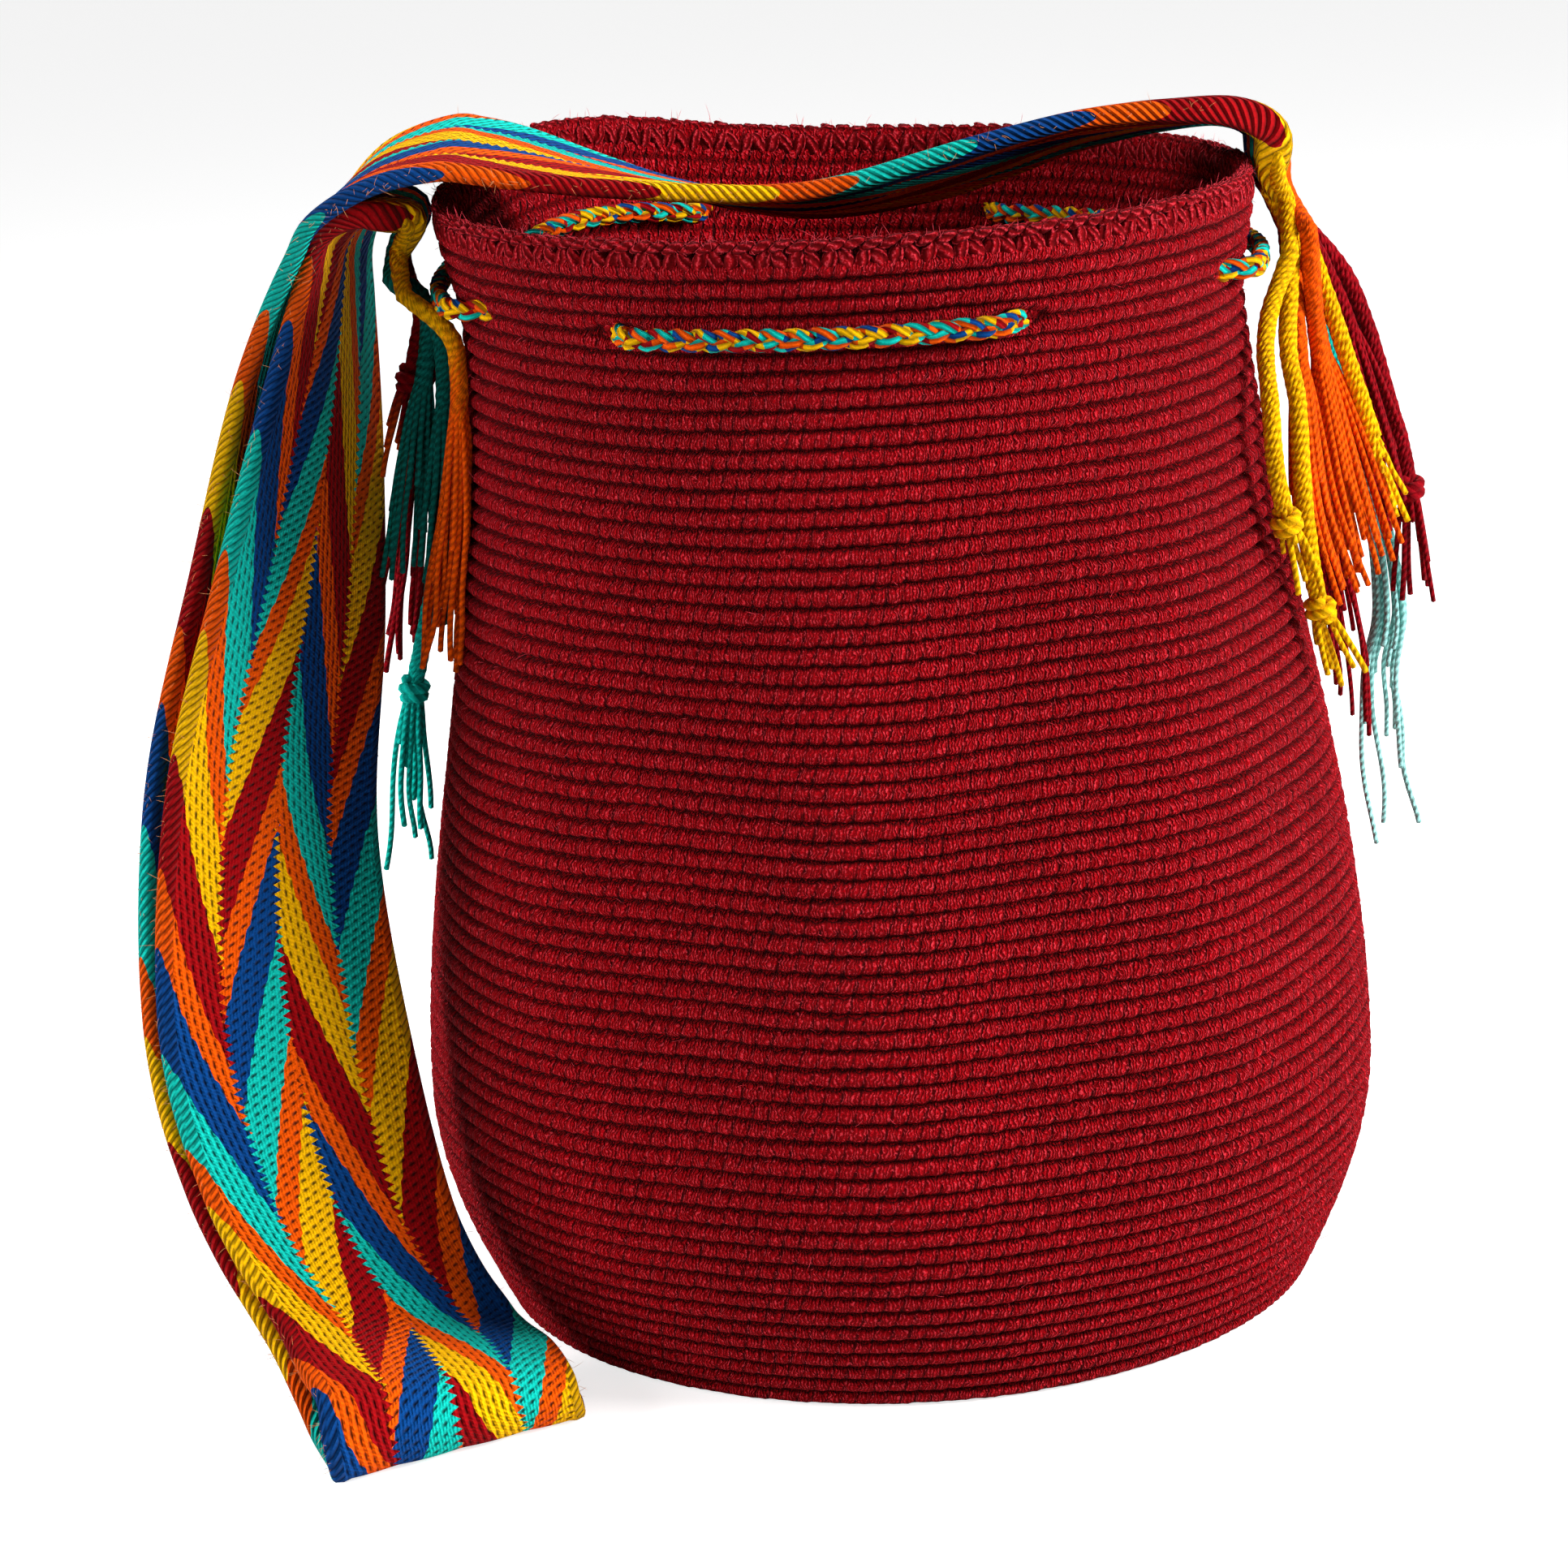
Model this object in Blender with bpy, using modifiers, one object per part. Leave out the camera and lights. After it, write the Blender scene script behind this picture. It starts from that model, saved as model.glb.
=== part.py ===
# A wayuu mochila: a crocheted bucket bag, its woven shoulder strap and its drawstring.
# Metres, +Z up. The front is -Y, the floor is z = 0, and the base is centred on the origin.
import math

import bmesh
import bpy
from mathutils import Vector

COLLECTION = "wayuu_mochila_bag"

# Bag body
BAG_HEIGHT = 0.333
FOOT_RADIUS = 0.1225
BELLY_RADIUS = 0.143
BELLY_HEIGHT = 0.066
NECK_RADIUS = 0.117
NECK_DROP = 0.037
RIM_RADIUS = 0.124
WALL = 0.004
BASE_THICKNESS = 0.005
ROW_COUNT = 64
ROW_RELIEF = 0.0018
INNER_RIM_RINGS = 3
INNER_WALL_RINGS = 4
INNER_FOOT_RINGS = 2
ROUND_STEPS = 24

# How the soft wall has settled
MOUTH_SQUEEZE = 0.04
MOUTH_LEAN = 0.005
RIM_LIFT = 0.012
RIM_LIFT_ANGLE = math.radians(-133)
RIM_LIFT_SPREAD = math.radians(30)
FOLD_DEPTH = 0.0014
FOLD_COUNT = 7

# Drawstring and the slots that it runs through
CORD_DIAMETER = 0.0065
CORD_DROP = 0.026
CORD_CLEARANCE = 0.0015
CORD_SIDES = 1
SLOT_LENGTH = 0.025
SLOT_MARGIN = 0.00075
SLOT_ANGLES = [math.radians(a) for a in (155, 112, 68, 22, -35, -68, -112, -158)]
CROSSING = 0.008
TAIL_HANG = 0.085
KNOT_DIAMETER = 0.012
BRUSH_LENGTH = 0.018

# Strap
STRAP_WIDTH = 0.080
STRAP_THICKNESS = 0.004
STRAP_EDGE = 0.006
SEWN_WIDTH = 0.038
SEWN_THICKNESS = 0.0084
SEWN_DEPTH = 0.017
SEWN_FLARE = 0.006
STRAP_STEP = 0.0145
STRAP_COLUMNS = 6
RUN_GAP = 0.0092

# Fringe
SEAT_GAP = 0.0003
FRINGE_ROOT = 0.0036
FRINGE_BODY = 0.0054
FRINGE_KNOT = 0.0086
FRINGE_CLEARANCE = 0.001
FRINGE_STEP = 0.0175

RED = (0.36, 0.012, 0.018)
STRAP_RED = (0.30, 0.02, 0.02)
DARK_RED = (0.20, 0.006, 0.012)
ORANGE = (0.80, 0.10, 0.012)
YELLOW = (0.90, 0.38, 0.01)
TURQUOISE = (0.01, 0.50, 0.42)
TEAL = (0.005, 0.10, 0.09)
CORD_MIX = (0.55, 0.30, 0.06)


def clear_scene():
    for item in list(bpy.data.objects):
        bpy.data.objects.remove(item, do_unlink=True)
    for name in (COLLECTION, "cutters"):
        if name in bpy.data.collections:
            bpy.data.collections.remove(bpy.data.collections[name])
        bpy.context.scene.collection.children.link(bpy.data.collections.new(name))


def add_object(name, data, collection=COLLECTION):
    item = bpy.data.objects.new(name, data)
    bpy.data.collections[collection].objects.link(item)
    return item


def paint(item, colour, roughness=0.9):
    material = bpy.data.materials.new(item.name + "_yarn")
    material.use_nodes = True
    shader = material.node_tree.nodes["Principled BSDF"]
    shader.inputs["Base Color"].default_value = (*colour, 1)
    shader.inputs["Roughness"].default_value = roughness
    shader.inputs["Metallic"].default_value = 0
    material.diffuse_color = (*colour, 1)
    item.data.materials.append(material)


def smooth_step(t):
    t = min(max(t, 0), 1)
    return t * t * (3 - 2 * t)


def wall_radius(z):
    """Outer radius of the round bag at a height, before it settles."""
    neck_height = BAG_HEIGHT - NECK_DROP
    if z < BELLY_HEIGHT:
        return FOOT_RADIUS + (BELLY_RADIUS - FOOT_RADIUS) * math.sin(math.pi / 2 * z / BELLY_HEIGHT)
    if z < neck_height:
        t = smooth_step((z - BELLY_HEIGHT) / (neck_height - BELLY_HEIGHT))
        return BELLY_RADIUS + (NECK_RADIUS - BELLY_RADIUS) * t
    return NECK_RADIUS + (RIM_RADIUS - NECK_RADIUS) * smooth_step((z - neck_height) / NECK_DROP)


def settle(point):
    """Moves a point of the round bag to where the soft bag has it."""
    x, y, z = point
    share = z / BAG_HEIGHT
    radius = math.hypot(x, y)
    if radius > 0:
        angle = math.atan2(x, -y)
        envelope = math.sin(math.pi * min(max(share, 0), 1)) ** 2
        fold = FOLD_DEPTH * envelope * math.cos(FOLD_COUNT * angle + 2.6 * share)
        x, y = x * (1 + fold / radius), y * (1 + fold / radius)
        around = (angle - RIM_LIFT_ANGLE + math.pi) % (2 * math.pi) - math.pi
        z += RIM_LIFT * share ** 4 * math.exp(-(around / RIM_LIFT_SPREAD) ** 2)
    x = x * (1 - MOUTH_SQUEEZE * share ** 3) - MOUTH_LEAN * share ** 3
    return Vector((x, y, z))


def on_bag(angle, outward, z):
    """A point a distance outward from the wall's outer surface. Angle 0 is the front."""
    radius = wall_radius(z) + outward
    return settle((radius * math.sin(angle), -radius * math.cos(angle), z))


def wall_levels():
    """Heights that part the wall into rows of equal length along it."""
    steps = 600
    heights = [BAG_HEIGHT * i / steps for i in range(steps + 1)]
    lengths = [0.0]
    for low, high in zip(heights, heights[1:]):
        lengths.append(lengths[-1] + math.hypot(high - low, wall_radius(high) - wall_radius(low)))
    levels = []
    index = 0
    for half_row in range(2 * ROW_COUNT + 1):
        target = lengths[-1] * half_row / (2 * ROW_COUNT)
        while index < steps - 1 and lengths[index + 1] < target:
            index += 1
        span = lengths[index + 1] - lengths[index]
        levels.append(heights[index] + (heights[index + 1] - heights[index]) * (target - lengths[index]) / span)
    return levels


def inner_levels():
    """Heights of the inner wall's rings from the rim down, closest where the wall curves most."""
    stops = [BAG_HEIGHT, BAG_HEIGHT - NECK_DROP, BELLY_HEIGHT, BASE_THICKNESS]
    counts = [INNER_RIM_RINGS, INNER_WALL_RINGS, INNER_FOOT_RINGS]
    levels = [BAG_HEIGHT]
    for high, low, count in zip(stops, stops[1:], counts):
        levels.extend(high + (low - high) * (i + 1) / count for i in range(count))
    return levels


def bag_profile():
    """Half section: base centre, outer wall with its row ridges, rim, inner wall, inner base."""
    points = [(0, 0)]
    for i, z in enumerate(wall_levels()):
        crest = ROW_RELIEF / 2 if i % 2 else -ROW_RELIEF / 2
        points.append((wall_radius(z) + (crest if i else 0), z))
    for z in inner_levels():
        points.append((wall_radius(z) - WALL, z))
    points.append((0, BASE_THICKNESS))
    return points


def turned_mesh(name, points):
    """Turns a half section about the Z axis."""
    mesh = bpy.data.meshes.new(name)
    edges = [(i, i + 1) for i in range(len(points) - 1)]
    mesh.from_pydata([(r, 0, z) for r, z in points], edges, [])
    item = add_object(name, mesh)
    screw = item.modifiers.new("Turn", 'SCREW')
    screw.axis = 'Z'
    screw.steps = ROUND_STEPS
    screw.render_steps = ROUND_STEPS
    screw.use_merge_vertices = True
    screw.merge_threshold = 0.00005
    screw.use_normal_calculate = True
    baked = bpy.data.meshes.new_from_object(item.evaluated_get(bpy.context.evaluated_depsgraph_get()))
    item.modifiers.clear()
    item.data = baked
    return item


def slot_cutter(angle):
    """A box that cuts one drawstring slot through the wall."""
    depth = 2 * (WALL + CORD_DIAMETER)
    height = CORD_DIAMETER + 2 * SLOT_MARGIN
    bpy.ops.mesh.primitive_cube_add(size=1)
    cutter = bpy.context.object
    cutter.name = f"slot_cutter_{round(math.degrees(angle))}"
    cutter.dimensions = (SLOT_LENGTH, depth, height)
    cutter.location = on_bag(angle, -WALL / 2, BAG_HEIGHT - CORD_DROP)
    cutter.rotation_euler = (0, 0, angle)
    cutter.hide_render = True
    cutter.display_type = 'WIRE'
    for collection in list(cutter.users_collection):
        collection.objects.unlink(cutter)
    bpy.data.collections["cutters"].objects.link(cutter)
    return cutter


def make_bag_body():
    bag = turned_mesh("bag_body", bag_profile())
    shape = bmesh.new()
    shape.from_mesh(bag.data)
    for vertex in shape.verts:
        vertex.co = settle(vertex.co)
    for face in shape.faces:
        face.smooth = False
    bmesh.ops.recalc_face_normals(shape, faces=shape.faces)
    shape.to_mesh(bag.data)
    shape.free()
    for angle in SLOT_ANGLES:
        cut = bag.modifiers.new("Slot", 'BOOLEAN')
        cut.operation = 'DIFFERENCE'
        cut.solver = 'EXACT'
        cut.object = slot_cutter(angle)
    paint(bag, RED)


def smooth_route(points, step):
    """Catmull-Rom points about one step apart, each a tuple of numbers."""
    route = []
    ends = [points[0], *points, points[-1]]
    for i in range(1, len(ends) - 2):
        before, start, end, after = ends[i - 1:i + 3]
        length = math.dist(start[:3], end[:3])
        count = max(1, round(length / step))
        for j in range(count):
            t = j / count
            route.append(tuple(
                0.5 * (2 * b + (c - a) * t + (2 * a - 5 * b + 4 * c - d) * t * t
                       + (3 * b - a - 3 * c + d) * t ** 3)
                for a, b, c, d in zip(before, start, end, after)))
    route.append(tuple(points[-1]))
    return route


def make_tube(name, points, colour, resolution=1):
    """A round tube through points of x, y, z and radius."""
    curve = bpy.data.curves.new(name, 'CURVE')
    curve.dimensions = '3D'
    curve.bevel_depth = 1
    curve.bevel_resolution = resolution
    curve.use_fill_caps = True
    spline = curve.splines.new('POLY')
    spline.points.add(len(points) - 1)
    for target, (x, y, z, radius) in zip(spline.points, points):
        target.co = (x, y, z, 1)
        target.radius = radius
    item = add_object(name, curve)
    paint(item, colour)


def cord_tail(angle, turn):
    """A drawstring end, from its knot's brush up to the slot that it comes out of."""
    radius = CORD_DIAMETER / 2
    top = BAG_HEIGHT - CORD_DROP
    away = CORD_CLEARANCE + ROW_RELIEF / 2
    swing = turn * (CROSSING + 2 * CORD_DIAMETER) / wall_radius(top)
    knot = top - TAIL_HANG
    lean_out = away + KNOT_DIAMETER / 2
    stops = [
        (knot - KNOT_DIAMETER / 2 - BRUSH_LENGTH, lean_out, radius * 1.3),
        (knot - KNOT_DIAMETER / 2 - BRUSH_LENGTH / 2, lean_out, radius * 1.2),
        (knot - KNOT_DIAMETER / 2, lean_out, radius),
        (knot, lean_out, KNOT_DIAMETER / 2),
        (knot + KNOT_DIAMETER / 2, lean_out, radius),
        (knot + TAIL_HANG * 0.4, away + radius * 1.3, radius),
        (top - 2 * CORD_DIAMETER, away + radius * 1.2, radius),
        (top - 0.8 * CORD_DIAMETER, away + radius * 1.3, radius),
    ]
    return [(*on_bag(angle + swing, out, z), size) for z, out, size in stops]


def cord_route():
    """The drawstring in and out of its slots, from one hanging end to the other."""
    radius = CORD_DIAMETER / 2
    top = BAG_HEIGHT - CORD_DROP
    away = ROW_RELIEF / 2 + CORD_CLEARANCE + radius
    outside, inside = away, -WALL - CORD_CLEARANCE - radius
    cross = CROSSING / wall_radius(top)
    route = cord_tail(SLOT_ANGLES[0], 1)
    place = outside
    for i, angle in enumerate(SLOT_ANGLES):
        other = inside if place == outside else outside
        middle = (place + other) / 2
        route.append((*on_bag(angle + cross, place, top), radius))
        route.append((*on_bag(angle, middle, top), radius))
        route.append((*on_bag(angle - cross, other, top), radius))
        place = other
        if i + 1 < len(SLOT_ANGLES):
            start, end = angle - cross, SLOT_ANGLES[i + 1] + cross
            steps = max(2, round((start - end) * wall_radius(top) / 0.011))
            for j in range(1, steps):
                route.append((*on_bag(start + (end - start) * j / steps, place, top), radius))
    route.extend(reversed(cord_tail(SLOT_ANGLES[-1], -1)))
    return route


def along(heading, dip):
    """Unit vector across the strap, from its near edge to its far edge."""
    heading, dip = math.radians(heading), math.radians(dip)
    return Vector((math.cos(heading) * math.cos(dip), math.sin(heading) * math.cos(dip), math.sin(dip)))


def centred(x, y, z, heading, dip, width=STRAP_WIDTH, thickness=STRAP_THICKNESS):
    """A strap station from its middle."""
    half = along(heading, dip) * width / 2
    middle = Vector((x, y, z))
    return (*(middle - half), *(middle + half), thickness)


def hung(beyond, y, level, heading, dip, lift=0.0):
    """A strap station from its far edge: so far beyond the wall, at a share of the bag's height."""
    z = level * BAG_HEIGHT + lift
    far = Vector((-wall_radius(z) - beyond, y, z))
    return (*(far - along(heading, dip) * STRAP_WIDTH), *far, STRAP_THICKNESS)


def sewn(side, drop, width=SEWN_WIDTH, out=0.0):
    """A strap station that lies flat on the outside of the wall, under the rim."""
    wall = settle((side * wall_radius(BAG_HEIGHT), 0, BAG_HEIGHT)).x
    seat = ROW_RELIEF / 2 + SEAT_GAP + SEWN_THICKNESS / 2 + out
    return centred(wall + side * seat, 0, BAG_HEIGHT - drop, 90, 0, width, SEWN_THICKNESS)


def over_mouth():
    """Stations from the right end, over the mouth, to the bend on the left."""
    right = settle((RIM_RADIUS, 0, BAG_HEIGHT)).x
    left = settle((-RIM_RADIUS, 0, BAG_HEIGHT)).x
    rim = BAG_HEIGHT
    return [
        sewn(1, SEWN_DEPTH, out=SEWN_FLARE),
        sewn(1, SEWN_DEPTH / 4),
        centred(right + 0.005, 0.001, rim + 0.008, 90, -3, 0.040, 0.0075),
        centred(right - 0.006, 0.002, rim + 0.0135, 90, -6, 0.048, 0.0065),
        centred(right - 0.025, 0.003, rim + 0.013, 90, -10, 0.058, 0.005),
        centred(right * 0.54, 0.004, rim + 0.009, 90, -14, 0.070),
        centred(right * 0.26, 0.003, rim + 0.001, 90, -16),
        centred(left * 0.12, 0.003, rim - 0.006, 90, -12),
        centred(left * 0.49, 0.002, rim + 0.001, 90, -5),
        centred(left + 0.028, 0.000, rim + 0.011, 90, 3),
        centred(left + 0.004, 0.000, rim + 0.0155, 90, 4),
        centred(left - 0.015, -0.001, rim + 0.0105, 90, 1),
        centred(left - 0.030, -0.003, rim - 0.002, 88, -5),
    ]


def inner_run():
    """Stations of the hanging run next to the bag, from the left end down to the foot."""
    left = settle((-RIM_RADIUS, 0, BAG_HEIGHT)).x
    rim = BAG_HEIGHT
    return [
        sewn(-1, SEWN_DEPTH, out=SEWN_FLARE),
        sewn(-1, SEWN_DEPTH / 4),
        centred(left - 0.011, 0.000, rim - 0.001, 90, 0, 0.050, 0.007),
        centred(left - 0.019, 0.000, rim - 0.0005, 88, -2, 0.064, 0.0055),
        centred(left - 0.027, 0.001, rim - 0.010, 85, -10, 0.077),
        hung(0.029, 0.024, 0.79, 73, -23),
        hung(0.023, -0.002, 0.625, 58, -24),
        hung(0.018, -0.030, 0.465, 46, -19),
        hung(0.004, -0.057, 0.310, 34, -8),
        hung(-0.008, -0.076, 0.138, 31, -15),
    ]


def foot():
    """Stations of the roll that rests on the floor, from its top to its underside."""
    floor = STRAP_EDGE / 2
    return [
        hung(-0.016, -0.088, 0.049, 30, -14),
        hung(-0.025, -0.106, 0.051, 29, -9),
        hung(-0.029, -0.119, 0.042, 30, -9),
        hung(-0.029, -0.1245, 0.0, 30, -5, floor + 0.007),
        hung(-0.027, -0.120, 0.0, 30, -1, floor + 0.0005),
        hung(-0.025, -0.109, 0.0, 30, 0, floor),
        hung(-0.020, -0.097, 0.0, 30, -2, floor + 0.001),
        hung(-0.010, -0.081, 0.0, 31, -12, floor + 0.006),
    ]


def face_normal(station, before, after):
    """The outside of the loop at a station, from its neighbours along the route."""
    near, far = Vector(station[:3]), Vector(station[3:6])
    start = (Vector(before[:3]) + Vector(before[3:6])) / 2
    end = (Vector(after[:3]) + Vector(after[3:6])) / 2
    return (far - near).cross(end - start).normalized()


def outer_run(inner):
    """The run outside the inner one, a gap away, from the top down."""
    stations = []
    for i in range(5, len(inner)):
        below = inner[min(i + 1, len(inner) - 1)]
        outward = face_normal(inner[i], below, inner[i - 1])
        shift = tuple(-outward * RUN_GAP)
        stations.append(tuple(a + b for a, b in zip(inner[i][:6], shift * 2)) + (inner[i][6],))
    return stations


def strap_route():
    """Every strap station in order: near edge, far edge and thickness."""
    inner = inner_run()
    stations = over_mouth() + outer_run(inner) + list(reversed(foot())) + list(reversed(inner))
    return smooth_route(stations, STRAP_STEP)


def make_strap():
    """A woven band with rope-like edges, its ends gathered and sewn on."""
    route = strap_route()
    thickest = max(SEWN_THICKNESS, STRAP_EDGE)
    band = bmesh.new()
    bmesh.ops.create_grid(band, x_segments=len(route) - 1, y_segments=STRAP_COLUMNS, size=0.5)
    band.verts.ensure_lookup_table()
    mesh = bpy.data.meshes.new("strap")
    weights = []
    for vertex in band.verts:
        station = route[round((vertex.co.x + 0.5) * (len(route) - 1))]
        share = vertex.co.y + 0.5
        near, far = Vector(station[:3]), Vector(station[3:6])
        edge = share < 0.01 or share > 0.99
        flat = station[6] < STRAP_EDGE
        thickness = STRAP_EDGE if edge and flat else station[6]
        inset = (0.5 - share) * STRAP_EDGE if edge and flat else 0
        vertex.co = near.lerp(far, share) + (far - near).normalized() * inset
        weights.append(thickness / thickest)
    bmesh.ops.recalc_face_normals(band, faces=band.faces)
    band.to_mesh(mesh)
    band.free()
    strap = add_object("strap", mesh)
    group = strap.vertex_groups.new(name="thickness")
    for i, weight in enumerate(weights):
        group.add([i], weight, 'REPLACE')
    solid = strap.modifiers.new("Thickness", 'SOLIDIFY')
    solid.thickness = thickest
    solid.offset = 0
    solid.vertex_group = group.name
    paint(strap, STRAP_RED)


def clear_of_wall(point, radius):
    """Pushes a bundle's point outward until it hangs clear of the wall."""
    x, y, z = point
    angle = math.atan2(x, -y)
    wall = on_bag(angle, ROW_RELIEF / 2 + radius + FRINGE_CLEARANCE, z)
    needed = math.hypot(wall.x, wall.y)
    distance = math.hypot(x, y)
    push = max(1, needed / distance)
    return x * push, y * push, z


def strap_end(side):
    """The middle of a sewn end, the way it points and the way through its thickness."""
    route = strap_route()
    last, before = (route[0], route[1]) if side > 0 else (route[-1], route[-2])
    middle = (Vector(last[:3]) + Vector(last[3:6])) / 2
    down = (middle - (Vector(before[:3]) + Vector(before[3:6])) / 2).normalized()
    outward = Vector((0, side, 0)).cross(down) * -1
    return middle, down, outward


def make_bundle(name, colour, side, root, stops, knot=None):
    """A fringe bundle: its root under the sewn end, then stops of y, drop and distance out.

    The root is y and an offset through the end's thickness. All stops are in millimetres."""
    middle, down, outward = strap_end(side)
    start = middle + Vector((0, root[0], 0)) + outward * root[1] + down * SEAT_GAP
    points = [(*start, FRINGE_ROOT / 2), (*(start + down * FRINGE_ROOT), FRINGE_ROOT / 2)]
    for i, (y, drop, out) in enumerate(stops):
        z = BAG_HEIGHT - drop / 1000
        wall = settle((side * wall_radius(z), 0, z)).x
        width = FRINGE_KNOT if i == knot else FRINGE_BODY
        place = clear_of_wall((wall + side * out / 1000, y / 1000, z), width / 2)
        if i == knot:
            points.append((*place[:2], z + FRINGE_KNOT * 0.6, FRINGE_BODY / 2))
        points.append((*place, width / 2))
        if i == knot:
            points.append((*place[:2], z - FRINGE_KNOT * 0.6, FRINGE_BODY / 2))
    make_tube(name, smooth_route(points, FRINGE_STEP), colour)


def make_right_fringe():
    row, layer = SEWN_WIDTH / 5, SEWN_THICKNESS / 4
    bundles = [
        ("yellow_1", YELLOW, -2, -1, [(-30, 45, 7), (-46, 65, 0), (-49, 83, -2), (-47, 99, -2), (-43, 128, -2)], 3),
        ("yellow_2", YELLOW, -1, -1, [(-22, 51, 10), (-32, 68, 9), (-37, 96, 5), (-34, 128, 3), (-29, 157, 7)], 3),
        ("orange_1", ORANGE, 0, -1, [(-13, 52, 14), (-20, 80, 11), (-22, 103, 9), (-21, 130, 11)], None),
        ("orange_2", ORANGE, -2, 1, [(-9, 54, 20), (-11, 87, 20), (-12, 126, 20)], None),
        ("orange_3", ORANGE, -1, 1, [(-2, 50, 23), (-2, 89, 28), (0, 126, 31)], None),
        ("yellow_3", YELLOW, 0, 1, [(5, 56, 27), (8, 91, 31), (10, 114, 34)], None),
        ("red_1", DARK_RED, 1, 1, [(13, 48, 31), (17, 86, 36), (19, 121, 37)], None),
        ("red_2", DARK_RED, 2, 1, [(21, 42, 35), (26, 80, 42), (28, 106, 43), (30, 143, 38)], 2),
        ("red_3", DARK_RED, 1, -1, [(14, 57, 16), (20, 103, 15), (24, 145, 15), (24, 188, 10)], None),
        ("turquoise", TURQUOISE, 2, -1, [(25, 68, 27), (33, 107, 32), (36, 145, 30), (35, 171, 21), (34, 223, 18)], None),
    ]
    for name, colour, place, depth, stops, knot in bundles:
        make_bundle("fringe_right_" + name, colour, 1, (place * row, depth * layer), stops, knot)


def make_left_fringe():
    row = SEWN_WIDTH / 6
    bundles = [
        ("orange", ORANGE, -2.5, [(-24, 37, 1), (-29, 60, 0), (-29, 89, 0), (-27, 118, 2), (-27, 135, 2)], None),
        ("teal_1", TEAL, -1.5, [(-12, 35, 7), (-15, 70, 7), (-16, 106, 8), (-16, 130, 9)], None),
        ("teal_2", TEAL, -0.5, [(-3, 31, 10), (-3, 65, 15), (-2, 89, 17), (-2, 114, 17)], None),
        ("turquoise", TURQUOISE, 0.5, [(5, 40, 7), (8, 76, 8), (8, 110, 9), (6, 147, 13), (4, 174, 12), (4, 208, 8)], 3),
        ("red_1", DARK_RED, 1.5, [(11, 32, 13), (13, 54, 18), (13, 69, 20), (13, 86, 23)], 1),
        ("red_2", DARK_RED, 2.5, [(21, 40, 10), (23, 63, 16), (24, 98, 18), (23, 153, 18)], None),
    ]
    for name, colour, place, stops, knot in bundles:
        make_bundle("fringe_left_" + name, colour, -1, (place * row, 0), stops, knot)


def main():
    clear_scene()
    make_bag_body()
    make_strap()
    make_tube("drawstring", cord_route(), CORD_MIX, CORD_SIDES)
    make_right_fringe()
    make_left_fringe()


main()
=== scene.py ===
# %% [markdown]
# # A crocheted bucket bag with a woven strap
# The bag is worked in the round from cotton yarn. Its strap is a woven band in a zigzag of five colours.
# The solids from the CAD part fix every size. This script dresses them in yarn, piece by piece.

# %% Load the frame
import math
import random

import bmesh
import bpy
import numpy as np
from mathutils import Matrix, Vector


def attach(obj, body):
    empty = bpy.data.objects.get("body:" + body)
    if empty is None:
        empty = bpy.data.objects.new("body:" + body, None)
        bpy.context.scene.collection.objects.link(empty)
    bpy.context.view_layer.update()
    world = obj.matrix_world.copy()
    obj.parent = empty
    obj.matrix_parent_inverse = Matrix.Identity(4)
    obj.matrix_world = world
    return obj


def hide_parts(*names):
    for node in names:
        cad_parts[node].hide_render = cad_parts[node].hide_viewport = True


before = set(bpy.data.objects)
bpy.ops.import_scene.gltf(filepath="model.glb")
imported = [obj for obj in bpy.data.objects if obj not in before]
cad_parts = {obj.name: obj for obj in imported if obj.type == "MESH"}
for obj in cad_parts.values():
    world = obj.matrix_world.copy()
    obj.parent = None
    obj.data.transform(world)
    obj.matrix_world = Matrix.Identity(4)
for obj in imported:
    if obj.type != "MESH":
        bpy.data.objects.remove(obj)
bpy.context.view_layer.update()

# %% [markdown]
# ## The camera
# The photo was taken from a little above the rim. The camera was fitted to the bag's outline.

# %% Camera
CAMERA_PLACE = Vector((-0.0303, -1.2958, 0.5017))
CAMERA_PITCH = 0.2638
CAMERA_ROLL = -0.0543
CAMERA_YAW = 0.0006
CAMERA_LENS = 102.0


def add_object(name, data):
    item = bpy.data.objects.new(name, data)
    bpy.context.scene.collection.objects.link(item)
    return item


def make_camera():
    lens = bpy.data.cameras.new("camera")
    lens.lens = CAMERA_LENS
    lens.sensor_width = 36
    lens.clip_start = 0.05
    lens.clip_end = 20
    side = Vector((math.cos(CAMERA_YAW), math.sin(CAMERA_YAW), 0))
    level = Vector((-math.sin(CAMERA_YAW), math.cos(CAMERA_YAW), 0))
    ahead = level * math.cos(CAMERA_PITCH) - Vector((0, 0, math.sin(CAMERA_PITCH)))
    above = side.cross(ahead)
    right = side * math.cos(CAMERA_ROLL) + above * math.sin(CAMERA_ROLL)
    up = above * math.cos(CAMERA_ROLL) - side * math.sin(CAMERA_ROLL)
    turn = Matrix((right, up, -ahead)).transposed().to_4x4()
    camera = add_object("camera", lens)
    camera.matrix_world = Matrix.Translation(CAMERA_PLACE) @ turn
    bpy.context.scene.camera = camera


make_camera()
bpy.context.scene.view_settings.view_transform = 'Standard'
print("Camera at", tuple(CAMERA_PLACE))

# %% [markdown]
# ## The bag's form
# A soft bag has a plain form under its stitches: a round wall with a belly, a neck and a flared rim.
# The formulas of the CAD part give it here, so that the yarn lies on the solid. Only the softer folds
# at the front and back are new.

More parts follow.
